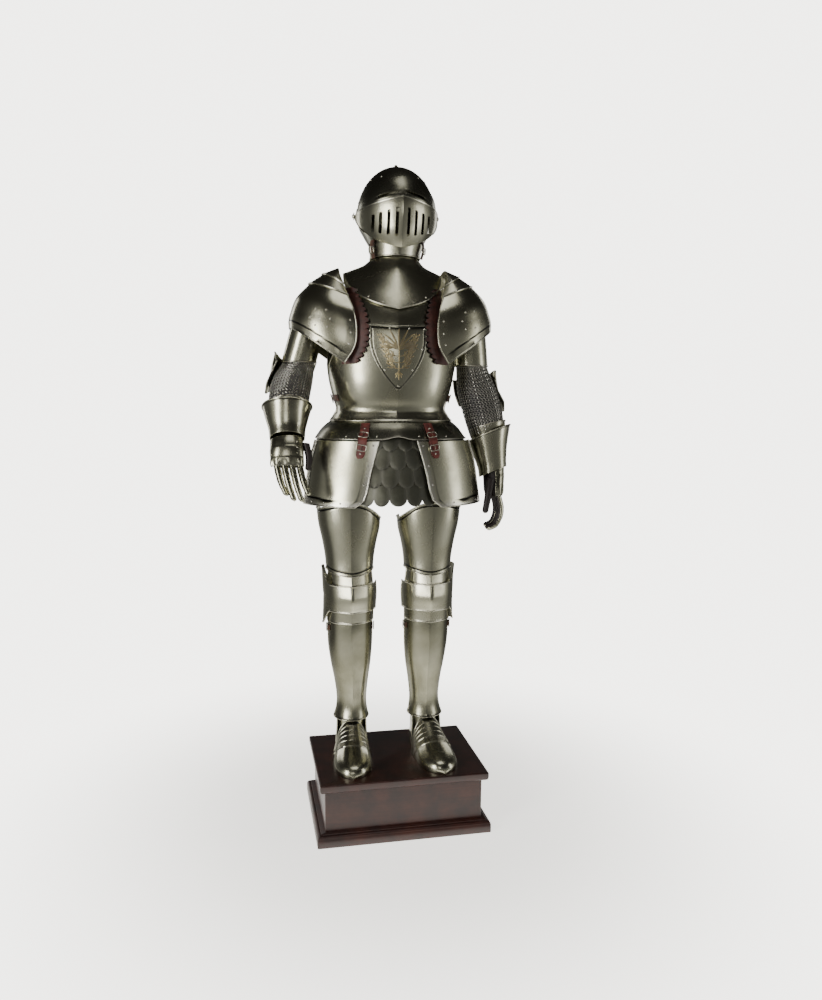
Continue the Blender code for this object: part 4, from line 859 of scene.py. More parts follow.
def shield_face(u, v):
    """The riveted plate on the breast: it lies a plate's thickness off the trunk, comes to a point
    below, and its upper edge dips towards the middle."""
    rows = ring_at(TRUNK, SHIELD_LOW + SHIELD_TALL * v)
    reach = SHIELD_WIDE * np.sin(np.clip(v * 1.25 + 0.03, 0, 1) * math.pi / 2) ** 0.85
    half = np.arcsin(np.clip(reach / rows[..., 3], 0, 1) ** (rows[..., 6] / 2))
    lift = PLATE + 3 * GAP + SHIELD_TILT * v
    points = section(rows, (2 * u - 1) * half, lift)
    points[..., 2] -= 0.006 * v**4 * (1 - np.abs(2 * u - 1))
    return points


# Leaf ornament. Palmette: turn from upright, bend, length, half width in millimetres. Scrolls: height,
# turn, bend, length. Drop: turn, length
PALMETTE = [(0.0, 0.0, 0.058, 3.2), (0.28, 0.30, 0.060, 3.0), (0.58, 0.45, 0.062, 2.9),
            (0.90, 0.60, 0.062, 2.8), (1.22, 0.80, 0.058, 2.6)]
SCROLLS = [(1.466, 1.30, -0.9, 0.076), (1.448, 1.50, -1.9, 0.092), (1.430, 1.55, -2.4, 0.084),
           (1.414, 1.65, -2.8, 0.062)]
DROP = [(math.pi, 0.024), (math.pi - 0.45, 0.020), (math.pi - 0.9, 0.015)]


def on_trunk(x, z, lift):
    """Points on the trunk at distances from its middle and heights, lifted off its face."""
    rows = ring_at(TRUNK, z)
    share = np.abs(x) / (rows[..., 3] + lift)
    turns = np.sign(x) * np.arcsin(np.clip(share, 0, 1) ** (rows[..., 6] / 2))
    return section(rows, turns, lift)


def vine(start, turn, bend, length, steps=13):
    """A curve on the breast: from a point it heads off at an angle from upright, and turns evenly by
    bend over its length. Gives x, z and the heading at each step."""
    t = np.linspace(0.0, 1.0, steps)
    heading = turn + bend * t
    step = length / (steps - 1)
    x = start[0] + np.r_[0.0, np.cumsum(np.sin(heading[:-1]) * step)]
    z = start[1] + np.r_[0.0, np.cumsum(np.cos(heading[:-1]) * step)]
    return x, z, heading


def frond(start, turn, bend, length, wide):
    """A raised leaf along such a curve. Its half width is a sine of the share, and its back domed."""
    x, z, heading = vine(start, turn, bend, length)
    half = wide * np.sin(math.pi * np.linspace(0.10, 0.98, len(x))) ** 0.8
    across = np.array([-1.0, -0.5, 0.0, 0.5, 1.0])
    px = x[:, None] + half[:, None] * across * np.cos(heading)[:, None]
    pz = z[:, None] - half[:, None] * across * np.sin(heading)[:, None]
    share = (pz - SHIELD_LOW) / SHIELD_TALL
    lift = PLATE + 3 * GAP + SHIELD_TILT * share + 0.45 * MM + 0.5 * MM * (1 - across**2)
    return walled(on_trunk(px, pz, lift), 0.5 * MM, polish_and_painted_light=0.2 + 0.3 * (np.abs(across) < 0.3))


def ornament():
    """A symmetrical leaf ornament: a palmette over four pairs of leafy scrolls, with a drop of leaves
    below, like the etched foliage that is common on parade armour."""
    parts = []
    for turn, bend, length, wide in PALMETTE:
        for side in ((1,) if turn == 0 else (-1, 1)):
            root = (side * 3 * MM * (turn > 0), 1.470)
            parts.append(frond(root, side * turn, side * bend, length, wide * MM))
    for height, turn, bend, length in SCROLLS:
        for side in (-1, 1):
            stem = (0.0, height), side * turn, side * bend, length
            parts.append(frond(*stem, 1.7 * MM))
            x, z, heading = vine(*stem)
            for number, k in enumerate(range(2, 12)):
                off = side * (0.85 if number % 2 else -0.85)
                size = (20 - 0.9 * number) * MM
                parts.append(frond((x[k], z[k]), heading[k] + off, -off * 0.9, size, 2.0 * MM))
    for turn, length in DROP:
        for side in ((1,) if turn == math.pi else (-1, 1)):
            parts.append(frond((0.0, 1.404), side * turn, 0.0, length, 2.0 * MM))
    parts.append(frond((0.0, 1.396), 0.0, 0.0, 0.084, 1.5 * MM))
    return join(*parts)


def side_strap(side):
    """A short strap over the seam below the arm, from the back to the breast: x across, z up."""
    def face(u, v):
        height = SIDE_STRAP[0] + SIDE_STRAP[1] * v
        turns = side * math.radians(90) + (2 * u - 1) * math.radians(STRAP_REACH)
        points = section(ring_at(TRUNK, height), turns, LEATHER + 1.0 * MM)
        points[..., 2] = height
        return points
    return face


def make_trunk():
    """Breastplate, backplate and the shield-shaped plate with its rivets and gilt leaves."""
    breast, back = trunk_face(*BREAST_CUT, 0.0), trunk_face(*BACK_CUT, math.pi)
    make("breastplate_shell", plate(breast, 56, 40, crease=True), satin_steel, ["breastplate"])
    make("backplate_shell", plate(back, 48, 32), satin_steel, ["backplate"])
    shield = plate(shield_face, 44, 36, line=7 * MM, roll=0.0, crease=True)
    make("shield_plate_shell", shield, satin_steel, ["shield_plate"])
    heads = [seat(shield_face, [0.06, 0.36, 0.66, 0.95], [0.93, 0.95, 0.95, 0.93]),
             seat(shield_face, [0.07, 0.93, 0.13, 0.87, 0.5], [0.62, 0.62, 0.3, 0.3, 0.055])]
    make("shield_rivets", rivets(heads), satin_steel)
    make("shield_leaves", ornament(), gilt)
    for side, tag in SIDES:
        face = side_strap(side)
        strap = make("side_strap_leather" + tag, band(face, 30, 5, "tb"), brown_leather)
        clasp = upright_buckle(face, 0.36, 0.5, 20 * MM, 26 * MM)
        make("side_strap_buckle" + tag, clasp, satin_steel)


def fauld_face(u, v):
    """Front of the waist plate, whose lower edge is arched in the middle."""
    points = section(through(FAULD, v), (2 * u - 1) * (math.pi / 2 - FAULD_SEAM))
    points[..., 2] += FAULD_ARCH * hump(points[..., 0], TRUNK_MIDDLE, FAULD_ARCH_HALF) * (1 - v) ** 2
    return points


def fauld_back_face(u, v):
    """Back of the waist plate."""
    return section(through(FAULD, v), math.pi + (2 * u - 1) * (math.pi / 2 - FAULD_SEAM))


def tasset_face(u, v):
    """A tasset on the right of the picture: its inner edge curves out towards a round corner."""
    rows = through(TASSET, v)
    inner = np.interp(v, [0.0, 0.12, 0.25, 0.5, 1.0], [0.128, 0.100, 0.092, 0.082, 0.055])
    start = np.arcsin((inner / rows[..., 3]) ** (rows[..., 6] / 2))
    return section(rows, start + (math.radians(77) - start) * u)


def strap_face(u, v):
    """The red strap on the right, from inside the fauld's middle over its edge to the tasset, with a
    pointed lower end."""
    levels = [1.1530, 1.1800, 1.2035, 1.2080, 1.2300, 1.2560]
    level = levels[0] + (levels[-1] - levels[0]) * v
    middle = np.interp(level, levels, [0.1130, 0.1080, 0.1030, 0.1020, 0.0960, 0.0900])
    lift = np.interp(level, levels, [0.0005, 0.0005, 0.0030, 0.0070, 0.0030, 0.0030])
    tassets = ring_at(TASSET, np.minimum(level, TASSET[-1, 2]))
    faulds = ring_at(FAULD, np.maximum(level, FAULD[0, 2]))
    rows = tassets + (faulds - tassets) * smooth(level, levels[2], levels[3])[..., None]
    half = 0.0125 * np.sqrt(np.clip((level - 1.1505) / 0.012, 0.04, 1))
    across = middle + (2 * u - 1) * half
    turns = np.arcsin((across / rows[..., 3]) ** (rows[..., 6] / 2))
    points = section(rows, turns, LEATHER + 2 * GAP + lift)
    points[..., 2] = level
    return points


def scales():
    """Rows of tongue-shaped scales laid like tiles. A scale's half width falls as a quarter of an
    ellipse over its lower part. It leans out towards its tip, and every other scale lies over its
    neighbours."""
    u, v = np.meshgrid(np.linspace(-1, 1, 5), [0.0, 0.03, 0.10, 0.22, 0.42, 0.70, 1.0])
    lowest, highest = SKIRT[0, 2], SKIRT[-1, 2]
    tops = np.linspace(lowest + 0.012, highest, 5)[1:]
    parts = []
    for row, top in enumerate(tops):
        for k in range(SCALES_ROUND):
            tip = np.sqrt(np.clip(1 - (np.clip(0.42 - v, 0, 1) / 0.425) ** 2, 0, 1))
            level = top + 0.003 - SCALE_TALL * (1 - v)
            share = (k + 0.5 * (row % 2) + 0.53 * u * tip) / SCALES_ROUND
            lean = 4.2 * MM * (1 - v) - 1.5 * MM + 0.9 * MM * (k % 2) + 1.2 * MM * (1 - u**2) * (1 - v)
            base = ring_at(SKIRT, np.clip(level, lowest, highest))
            points = section(base, share * 2 * math.pi, lean)
            points[..., 2] = level
            edge = np.minimum(1 - np.abs(u), v)
            parts.append(walled(points, 1.0 * MM, polish_and_painted_light=0.25 * np.exp(-edge * 9)))
    return join(*parts)


def make_waist():
    """Fauld, tassets with their borders, straps, and the skirt of scales."""
    make("fauld_front_shell", plate(fauld_face, 56, 12), browned_steel, ["fauld_front"])
    make("fauld_back_shell", plate(fauld_back_face, 44, 12), browned_steel, ["fauld_back"])
    heads = [beside(fauld_face, "b", 10 * MM, [0.28, 0.42, 0.58, 0.72]),
             beside(fauld_face, "t", 30 * MM, [0.5]),
             beside(fauld_back_face, "b", 10 * MM, [0.2, 0.35, 0.5, 0.65, 0.8])]
    make("fauld_rivets", rivets(heads), satin_steel)
    for side, tag in SIDES:
        face = on_side(tasset_face, side, TRUNK_MIDDLE)
        near, far = ("l", "r") if side > 0 else ("r", "l")
        shell = plate(face, 30, 34, line=24 * MM, border=22 * MM, rims="lrb")
        make("tasset_shell" + tag, shell, satin_steel, ["tasset" + tag])
        heads = [beside(face, rim, 13 * MM, shares) for rim, shares in (
            (near, [0.93, 0.62, 0.36]), (far, [0.9, 0.66, 0.4, 0.15]), ("b", [0.25, 0.5, 0.75]))]
        make("tasset_rivets" + tag, rivets(heads, 3.2 * MM), dark_heads)
        face = on_side(strap_face, side, TRUNK_MIDDLE)
        strap = band(face, 8, 24, "lr", 2.5 * MM)
        strap = make("tasset_strap_leather" + tag, strap, red_leather, ["tasset_strap" + tag])
        clasps = []
        for share in (0.30, 0.66):
            spot, out = seat(face, 0.5, share)
            clasps.append(buckle((spot, out, face(0.5, share + 0.02) - spot), 30 * MM, 17 * MM))
        make("tasset_strap_buckles" + tag, join(*clasps), satin_steel)
        make("tasset_strap_rivets" + tag, rivets([seat(face, [0.5, 0.5], [0.84, 0.13])]), satin_steel)
    make("skirt_scales", scales(), scale_steel, ["scale_skirt"])


def gorget_face(middle, pitch):
    """Front or back of the gorget: its pitch lowers the edge towards the breast or the back."""
    def face(u, v):
        rows = through(GORGET, v) * (1, 1, 1, 1, 1, 1, 1, 1, pitch, 1)
        points = section(rows, middle + (2 * u - 1) * (math.pi / 2 - GORGET_SEAM))
        side = np.abs(2 * u - 1)
        points[..., 2] -= 9 * MM * np.clip(1 - side / 0.5, 0, None) * (1 - v) ** 2
        points[..., 2] += 17 * MM * smooth(side, 0.45, 1.0) * (1 - v)
        return points
    return face


def collar_face(u, v):
    """The collar round the neck, creased in front."""
    turns = 2 * math.pi * u
    return section(through(COLLAR, v), np.where(turns > math.pi, turns - 2 * math.pi, turns))


def make_neck():
    """Gorget front and back with their rivets, and the collar."""
    front, back = gorget_face(0.0, 1.0), gorget_face(math.pi, -0.9)
    make("gorget_front_shell", plate(front, 48, 22, rims="lrb"), satin_steel, ["gorget_front"])
    make("gorget_back_shell", plate(back, 40, 20, rims="lrb"), satin_steel, ["gorget_back"])
    heads = [beside(front, "b", 9 * MM, [0.2, 0.3, 0.4, 0.6, 0.7, 0.8])]
    make("gorget_rivets", rivets(heads), satin_steel)
    collar = plate(collar_face, 72, 18, rims="b", ring=True)
    make("gorget_collar_shell", collar, satin_steel, ["gorget_collar"])


def shoulder_face(table, lift):
    """Arches over the right-hand shoulder. Each runs from its front end over the crest to a like end
    behind: x and z with cos, y with sin, both to the power 0.9. v runs up towards the neck."""
    rows = np.array(table, float)
    rows += np.array([0.6, 0.8, -0.6, 1.0, 0.0]) * lift
    def face(u, v):
        crest_x, crest_z, end_x, end_y, end_z = np.moveaxis(through(rows, 1 - v), -1, 0)
        turns = (2 * u - 1) * math.pi / 2
        bulge = np.abs(np.cos(turns)) ** 0.9
        along = np.sign(turns) * np.abs(np.sin(turns)) ** 0.9
        y = end_y * along * np.where(along > 0, 0.93, 1.0)
        x, z = end_x + (crest_x - end_x) * bulge, end_z + (crest_z - end_z) * bulge
        return xyz(x, y, z)
    return face


def trunk_front(x, z):
    """How far ahead the breast lies at a distance from its middle and a height."""
    rows = ring_at(TRUNK, z)
    share = np.clip(np.abs(x - rows[..., 0]) / rows[..., 3], 0, 1) ** rows[..., 6]
    return rows[..., 4] * (1 - share) ** (1 / rows[..., 6])


def edging_face(u, v):
    """Leather that lines the right-hand pauldron's front edge and stands out past it in scallops:
    its free edge follows the size of a sine along the rim."""
    edge = through(SHOULDER[1:], 0.04 + 0.96 * (1 - v))
    line = through(SHOULDER[1:], np.linspace(1.0, 0.04, 60))[:, 2:5]
    run = np.r_[0.0, np.cumsum(np.linalg.norm(np.diff(line, axis=0), axis=1))]
    length = np.interp(v, np.linspace(0, 1, 60), run)
    wave = np.abs(np.sin(math.pi * length / SCALLOP))
    inward = EDGING_WIDE - 0.009 + 0.010 * wave**0.7
    x = edge[..., 2] - inward + inward * 1.3 * u
    ahead = trunk_front(x, edge[..., 4]) + EDGING_LIFT
    return xyz(x, -ahead, edge[..., 4])


def make_shoulders():
    """Two upper lames, the main plate with its border and rivets, and the scalloped leather."""
    for side, tag in SIDES:
        near, far = ("l", "r") if side > 0 else ("r", "l")
        heads = []
        for number in (0, 1):
            lift = (2 - number) * SHOULDER_STEP
            face = on_side(shoulder_face(SHOULDER[number:number + 2], lift), side)
            node = "pauldron_lame_%d" % (number + 1)
            make(node + "_shell" + tag, plate(face, 64, 6, rims="b"), satin_steel, [node + tag])
            heads.append(beside(face, "b", 6 * MM, [0.12, 0.5, 0.88]))
        face = on_side(shoulder_face(SHOULDER[2:], 0.0), side)
        shell = plate(face, 64, 36, rims="lrb", line=24 * MM)
        make("pauldron_main_shell" + tag, shell, satin_steel, ["pauldron_main" + tag])
        u, v = ROSETTE.T
        heads += [beside(face, near, 14 * MM, [0.25, 0.42, 0.6, 0.78]),
                  beside(face, far, 14 * MM, [0.3, 0.6]), seat(face, u if side > 0 else 1 - u, v)]
        make("pauldron_rivets" + tag, rivets(heads, 3.1 * MM, 2.2 * MM), satin_steel)
        # The edging leather is painted darker as shade under the pauldron's rim.
        trim = band(on_side(edging_face, side), 8, 260, near, 3 * MM)
        trim = make("pauldron_edging_leather" + tag, trim, shaded_edging_leather, ["pauldron_edging" + tag])


def tube_face(table):
    """Whole turns of a section table, for arms and cuffs."""
    return lambda u, v: section(through(table, v), 2 * math.pi * u)


def couter_face(side):
    """Elbow cop behind and outside the arm. Its bands widen towards the outer side into a wing and
    narrow again at the front end."""
    start, end = (62, 255) if side > 0 else (-255, -62)

    def face(u, v):
        turns = np.radians(start + (end - start) * u)
        points = section(through(ELBOW[side], v), turns)
        middle = section(through(ELBOW[side], 0.5 + 0 * v), turns)[..., 2]
        near = 1.0 - smooth(turns * side, math.radians(95), math.radians(150))
        tip = 1.0 - 0.45 * (1.0 - smooth(turns * side, math.radians(62), math.radians(84)))
        points[..., 2] = middle + (points[..., 2] - middle) * (0.78 + 0.62 * near) * tip
        points[..., 0] += side * 0.0075 * near * np.abs(2 * v - 1)
        return points
    return face


def mail(face, pitch, rise, wire=0.75 * MM, ring=4.6 * MM):
    """Mail: rows of round links on a face. Rows are half a link apart and lean in turn to the left
    and right, as woven four in one."""
    shares = np.linspace(0, 1, 41)
    coarse = face(*np.meshgrid(shares, shares))
    around = lengths_of(coarse, 1)[0].mean()
    tall = lengths_of(coarse, 0)[0].mean()
    count, rows = int(around / pitch), int(tall / rise)
    number, row = np.meshgrid(np.arange(count), np.arange(rows))
    u = ((number + 0.5 * (row % 2)) / count).ravel()
    v = ((row + 0.5) / rows).ravel()
    centre, normal = seat(face, u, v)
    ahead = face(u + 1e-3, v) - centre
    side = unit(ahead)
    up = np.cross(normal, side)
    lean = np.where(row.ravel() % 2, 1.0, -1.0)[:, None] * 0.42
    face_out = normal + side * lean
    face_out = unit(face_out)
    across = np.cross(up, face_out)
    segments, sides = 10, 4
    turn = whole_turn(segments)[:, None]
    roll = whole_turn(sides)
    spoke = ring + wire * np.cos(roll)
    local = [np.cos(turn) * spoke, np.sin(turn) * spoke, wire * np.sin(roll) + 0 * turn]
    local = np.stack(local, axis=-1).reshape(-1, 3)
    basis = np.stack([across, up, face_out], axis=1)
    points = (centre + normal * 0.6 * MM)[:, None] + np.einsum("kc,ncd->nkd", local, basis)
    index = np.arange(segments * sides).reshape(segments, sides)
    right, below = np.roll(index, -1, axis=0), np.roll(index, -1, axis=1)
    cell = np.stack([index, right, np.roll(right, -1, axis=1), below], axis=-1).reshape(-1, 4)
    faces = (cell[None] + (np.arange(len(points)) * segments * sides)[:, None, None]).reshape(-1, 4)
    points = points.reshape(-1, 3)
    return points, faces, np.full(len(points), 0.4)


def palm_face(side, cover=1.0, grow=0.0, tall=(0.0, 1.0)):
    """Turns of the palm sections about the middle of the back of the hand."""
    def face(u, v):
        rows = through(PALM[side], tall[0] + (tall[1] - tall[0]) * v)
        return section(rows, HAND_FACE[side] + (2 * u - 1) * cover * math.pi, grow)
    return face


def finger_face(side, path, thick, cover, span=(0.0, 1.0), flare=0.0):
    """Turns about a finger's path, from its tip up. Each ring is the path plus the radius times cos
    of the turn towards the back of the hand and sin of it along the knuckles."""
    def face(u, v):
        share = span[0] + (span[1] - span[0]) * v
        spot = through(path, share)
        ahead = through(path, np.clip(share - 0.02, 0, 1)) - through(path, np.clip(share + 0.02, 0, 1))
        ahead = unit(ahead)
        along = np.array(KNUCKLE_LINE[side]) + 0 * ahead
        back = unit(np.cross(ahead, along))
        turn = (2 * u - 1) * cover
        radius = thick * (0.80 + 0.20 * share) + flare * (1 - v)
        tip = np.sqrt(np.clip(1 - np.clip(1 - share / 0.10, 0, 0.998) ** 2, 0, 1))
        peak = 1.0 + 0.10 * np.clip(1 - np.abs(turn) / 0.6, 0, None)
        spoke = np.cos(turn)[..., None] * back + np.sin(turn)[..., None] * along
        return spot + (radius * tip * peak)[..., None] * spoke
    return face


def make_hand(side, tag):
    """A leather glove, a plate of stepped lames over the back of the hand with a knuckle for each
    finger, and four lapped lames over each finger."""
    palm = palm_face(side, 1.0, -1.5 * MM)
    rings = palm(*np.meshgrid(np.arange(28) / 28, np.linspace(0, 1, 10)))
    centre = rings[:1].mean(axis=1, keepdims=True)
    base = centre + (rings[:1] - centre) * 0.55
    parts = [closed(np.concatenate([base - (0, 0, 3 * MM), rings]))]
    lames = []
    for number, path in enumerate(FINGERS[side]):
        path = path[::-1]
        thumb = number == 4
        thick = THUMB_THICK if thumb else FINGER_THICK
        u, v = np.meshgrid(np.arange(14) / 14, np.linspace(0, 1, 22) ** 1.3)
        parts.append(closed(finger_face(side, path, thick, math.pi)(u, v)))
        for low, high in zip(FINGER_SEAMS, FINGER_SEAMS[1:]) if not thumb else ():
            span = (low, min(high + 0.05, 1.0))
            lame = finger_face(side, path, thick + 1.7 * MM, math.radians(88), span, 1.1 * MM)
            lames.append(plate(lame, 14, 10 if low == 0 else 6, rims="", thick=1.0 * MM))
    glove = make("glove_leather" + tag, join(*parts), black_leather, ["glove" + tag])
    make("finger_lames" + tag, join(*lames), satin_steel)

    def relief(u, v, grid):
        """Steps between the lames, and a bell-shaped knuckle for each finger."""
        bumps = sum(hump(u, k, 0.075) for k in KNUCKLES) * hump(v, 0.10, 0.16) * 4.5 * MM
        return bumps + 0.9 * MM * ((v < HAND_SEAMS[0]) + (v < HAND_SEAMS[1]) * 1.0)

    back = palm_face(side, HAND_COVER / math.pi, 2.0 * MM)
    shell = plate(back, 44, 30, rims="b", relief=relief, roll=0.9 * MM)
    make("hand_plate_shell" + tag, shell, satin_steel, ["gauntlet_hand" + tag])
    near = 0.80 if side < 0 else 0.20
    heads = [seat(back, near, [0.25, 0.45, 0.62, 0.80]), seat(back, 1 - near, [0.45, 0.80])]
    make("hand_rivets" + tag, rivets(heads, 2.2 * MM, 3.4 * MM), satin_steel)


def make_arms():
    """Upper arm tube, mail over a dark lining, elbow cop, forearm tube and gauntlet."""
    for side, tag in SIDES:
        arm, sleeve, cuff, fore = (tube_face(table[side])
                                   for table in (UPPER_ARM, MAIL_SLEEVE, CUFF, FOREARM))
        tube = plate(arm, 56, 20, rims="b", ring=True)
        make("rerebrace_tube" + tag, tube, satin_steel, ["rerebrace" + tag])
        heads = [seat(arm, 0.93 if side > 0 else 0.07, [0.35, 0.52, 0.68])]
        make("rerebrace_rivets" + tag, rivets(heads), satin_steel)
        lining = plate(sleeve, 48, 20, rims="", ring=True, thick=MM)
        lining = make("sleeve_lining" + tag, lining, black_leather, ["mail_sleeve" + tag])
        make("mail_links" + tag, mail(sleeve, 8.6 * MM, 5.2 * MM), ring_steel)
        make("couter_shell" + tag, plate(couter_face(side), 40, 24), satin_steel, ["couter" + tag])
        shell = plate(cuff, 60, 26, rims="t", ring=True, line=7 * MM)
        make("gauntlet_cuff_shell" + tag, shell, satin_steel, ["gauntlet_cuff" + tag])
        row = 0.10 if side < 0 else 0.60
        heads = [seat(cuff, row, [0.10, 0.24, 0.38]), seat(cuff, row + 0.5, [0.10, 0.30])]
        make("gauntlet_cuff_rivets" + tag, rivets(heads), satin_steel)
        tube = plate(fore, 48, 14, rims="t", ring=True, thick=1.2 * MM)
        make("vambrace_tube" + tag, tube, satin_steel)
        make_hand(side, tag)


def ankle_face(side):
    """Whole turns of the tube that closes the foot below the greave."""
    return lambda u, v: swung(section(through(ANKLE, v), 2 * math.pi * u), side)


def leg_face(table, start, end, grow=0.0):
    """Turns of a leg table, from a start to an end angle, on the right-hand leg."""
    def face(u, v):
        points = section(through(table, v), np.radians(start + (end - start) * u), grow)
        return points + (LEG_MIDDLE, 0, 0)
    return face


def greave_strap(middle):
    """A short strap over the seam of the right-hand greaves, at a turn to the outer or inner side."""
    def face(u, v):
        height = GREAVE_STRAP[0] + GREAVE_STRAP[1] * v
        turns = np.radians(middle + (2 * u - 1) * STRAP_REACH)
        points = section(ring_at(GREAVE, height), turns, LEATHER + 1.0 * MM)
        points[..., 2] = height
        return points + (LEG_MIDDLE, 0, 0)
    return face


def poleyn_face(u, v):
    """Knee cop: an even band that opens on the outer side into a fan with a rounded end."""
    turns = np.radians(-86 + 220 * u)
    fan = smooth(turns, math.radians(55), math.radians(88))
    end = smooth(turns, math.radians(112), math.radians(134))
    share = 2 * v - 1
    height = POLEYN_MIDDLE + (POLEYN_HALF + POLEYN_FAN * fan - POLEYN_END * end) * share
    points = section(ring_at(KNEE, np.clip(height, 0.668, 0.752)), turns, 3.5 * MM)
    flare = smooth(turns, math.radians(60), math.radians(95))
    points[..., 0] += flare * (0.0065 - 0.0050 * (1 - np.abs(share)) ** 2) + LEG_MIDDLE
    points[..., 2] = height
    return points


def cuisse_face(u, v):
    """Thigh plate, open behind, whose upper rim dips on the inner and outer side."""
    turns = np.radians(-122 + 244 * u)
    points = section(through(CUISSE, v), turns)
    inner = np.sin(np.clip(-turns, 0, math.pi / 2)) ** 2
    outer = np.sin(np.clip(turns, 0, math.pi / 2)) ** 2
    points[..., 2] -= v**2 * (CUISSE_INNER * inner + CUISSE_OUTER * outer)
    points[..., 2] += (1 - v) ** 2 * CUISSE_ARCH * np.sin(turns) ** 2
    return points + (LEG_MIDDLE, 0, 0)


def hanger_face(u, v):
    """Strap that carries the right-hand cuisse: a narrow slice of a tube that leans in as it rises."""
    turns = math.radians(18) + 0.32 * (u - 0.5)
    return section(through(HANGER, v), turns) + (LEG_MIDDLE, 0, 0)


def foot_face(table, side):
    """Arches over a foot, from the toe to the ankle. x = width * sin to the power 0.9,
    height * cos to the power 0.8, each arch bowed ahead in its middle, and the foot turned out."""
    def face(u, v):
        ahead, wide, high, bow = np.moveaxis(through(table, v), -1, 0)
        turns = (u - 0.5) * math.pi
        across = wide * np.sign(turns) * np.abs(np.sin(turns)) ** 0.9
        lift = SOLE + GAP + high * np.abs(np.cos(turns)) ** 0.8
        return swung(xyz(across, -ahead - bow * np.cos(turns), lift), side)
    return face


def swung(points, side):
    """Points measured from the ankle, turned outwards and set on their own side."""
    angle = TOE_OUT[side] * side
    c, s = math.cos(angle), math.sin(angle)
    turn = np.array([[c, s, 0.0], [-s, c, 0.0], [0.0, 0.0, 1.0]])
    return points @ turn + (ANKLE_OUT * side + LEG_MIDDLE, 0, 0)


def heel_face(side):
    """Heel plate: turns of its sections from side to side behind."""
    def face(u, v):
        rows = through(HEEL, v) - np.eye(10)[0] * ANKLE_OUT
        return swung(section(rows, np.radians(92 + 176 * u)), side)
    return face


def make_legs():
    """Cuisse, knee, greaves and foot of each side."""
    for side, tag in SIDES:
        toe = plate(foot_face(TOE[::-1], side), 40, 44, rims="t")
        make("sabaton_toe_cap" + tag, toe, satin_steel, ["sabaton_toe" + tag])
        pairs = ([low + LAME_UNDER, high + LAME_OVER] for low, high in zip(FOOT[:0:-1], FOOT[-2::-1]))
        lames = [plate(foot_face(pair, side), 36, 3, rims="t", roll=1.2 * MM) for pair in pairs]
        make("sabaton_foot_lames" + tag, join(*lames), satin_steel, ["sabaton_lames" + tag])
        make("ankle_plate" + tag, plate(ankle_face(side), 40, 16, rims="", ring=True), satin_steel)
        heel = plate(heel_face(side), 40, 16, rims="lrt")
        make("sabaton_heel_plate" + tag, heel, satin_steel, ["sabaton_heel" + tag])
        for node, material, face, across, up, crease in (
                ("greave_front", greave_steel, leg_face(GREAVE, -88.8, 88.8), 44, 44, True),
                ("greave_back", greave_steel, leg_face(GREAVE, 91.2, 268.8), 40, 44, False),
                ("knee_lame_low", satin_steel, leg_face(KNEE_LAME_LOW, -84, 84), 44, 6, True),
                ("knee_lame_high", satin_steel, leg_face(KNEE_LAME_HIGH, -84, 84), 44, 6, True),
                ("poleyn", satin_steel, poleyn_face, 60, 32, False)):
            shell = plate(on_side(face, side, LEG_MIDDLE), across, up, crease=crease)
            make(node + "_shell" + tag, shell, material, [node + tag])
        for end, turn in (("outer", 90), ("inner", -90)):
            face = on_side(greave_strap(turn), side, LEG_MIDDLE)
            strap = make("greave_strap_" + end + tag, band(face, 20, 4, "tb"), brown_leather)
            clasp = upright_buckle(face, 0.35 if turn * side > 0 else 0.65, 0.5, 17 * MM, 25 * MM)
            make("greave_buckle_" + end + tag, clasp, satin_steel)
        thigh = plate(on_side(cuisse_face, side, LEG_MIDDLE), 56, 40, line=12 * MM, crease=True)
        make("cuisse_shell" + tag, thigh, satin_steel, ["cuisse" + tag])
        strap = band(on_side(hanger_face, side, LEG_MIDDLE), 8, 60, "lr")
        strap = make("cuisse_hanger_leather" + tag, strap, brown_leather, ["cuisse_hanger" + tag])


def temple_face(wide, tall, low, high, ridge, peak=0.0):
    """A shell turned about the temple axis. Its radius is tall * cos of the lean to either side, with
    a ridge in the middle. v goes from the low to the high angle above the front."""
    def face(u, v):
        lean = (2 * u - 1) * SHELL_LEAN * math.pi / 2
        x = wide * np.sin(lean)
        radius = tall * np.cos(lean) + ridge * np.clip(1 - np.abs(x) / 0.060, 0, None) ** 1.5
        rise = np.clip(1 - np.abs(x) / 0.10, 0, None) * v**2 * peak
        angle = np.radians(low + (high - low) * v + rise)
        return xyz(x, -radius * np.cos(angle), radius * np.sin(angle))
    return face


def across_share(x, wide):
    """The u of a temple shell at a distance from its middle: the arc sine over the whole lean."""
    return (np.arcsin(x / wide) / (SHELL_LEAN * math.pi / 2) + 1) / 2


def both_ways(x):
    """Distances to both sides of the middle, and the middle, in order."""
    return np.sort(np.concatenate([-x, [0.0], x]))


def on_temple(points):
    """Points measured from the temple axis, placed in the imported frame."""
    return stand(points + TEMPLE)


def skull_rows():
    """Section rows of the helmet's skull: the cheeks, a dome, and its small pointed finial."""
    climb = np.linspace(0.0, 0.972, 26)[1:] * math.pi / 2
    lower = through([*SKULL_CHEEKS, (0.0, SKULL_WIDE, SKULL_TALL, SKULL_BACK)], np.linspace(0, 1, 12))
    rise, fall = np.sin(climb), np.cos(climb)
    dome = np.stack([SKULL_TALL * rise, SKULL_WIDE * fall, SKULL_TALL * fall, SKULL_BACK * fall], axis=1)
    dome[:, 0] += 3.5 * MM * np.exp(-(dome[:, 1] / 0.016) ** 2)
    knob = FINIAL[:, [0, 1, 1, 1]] + (SKULL_TALL, 0, 0, 0)
    rows = np.concatenate([lower, dome, knob])
    return np.c_[0 * rows[:, :2], rows, np.full(len(rows), 2.0), 0 * rows[:, :3]]


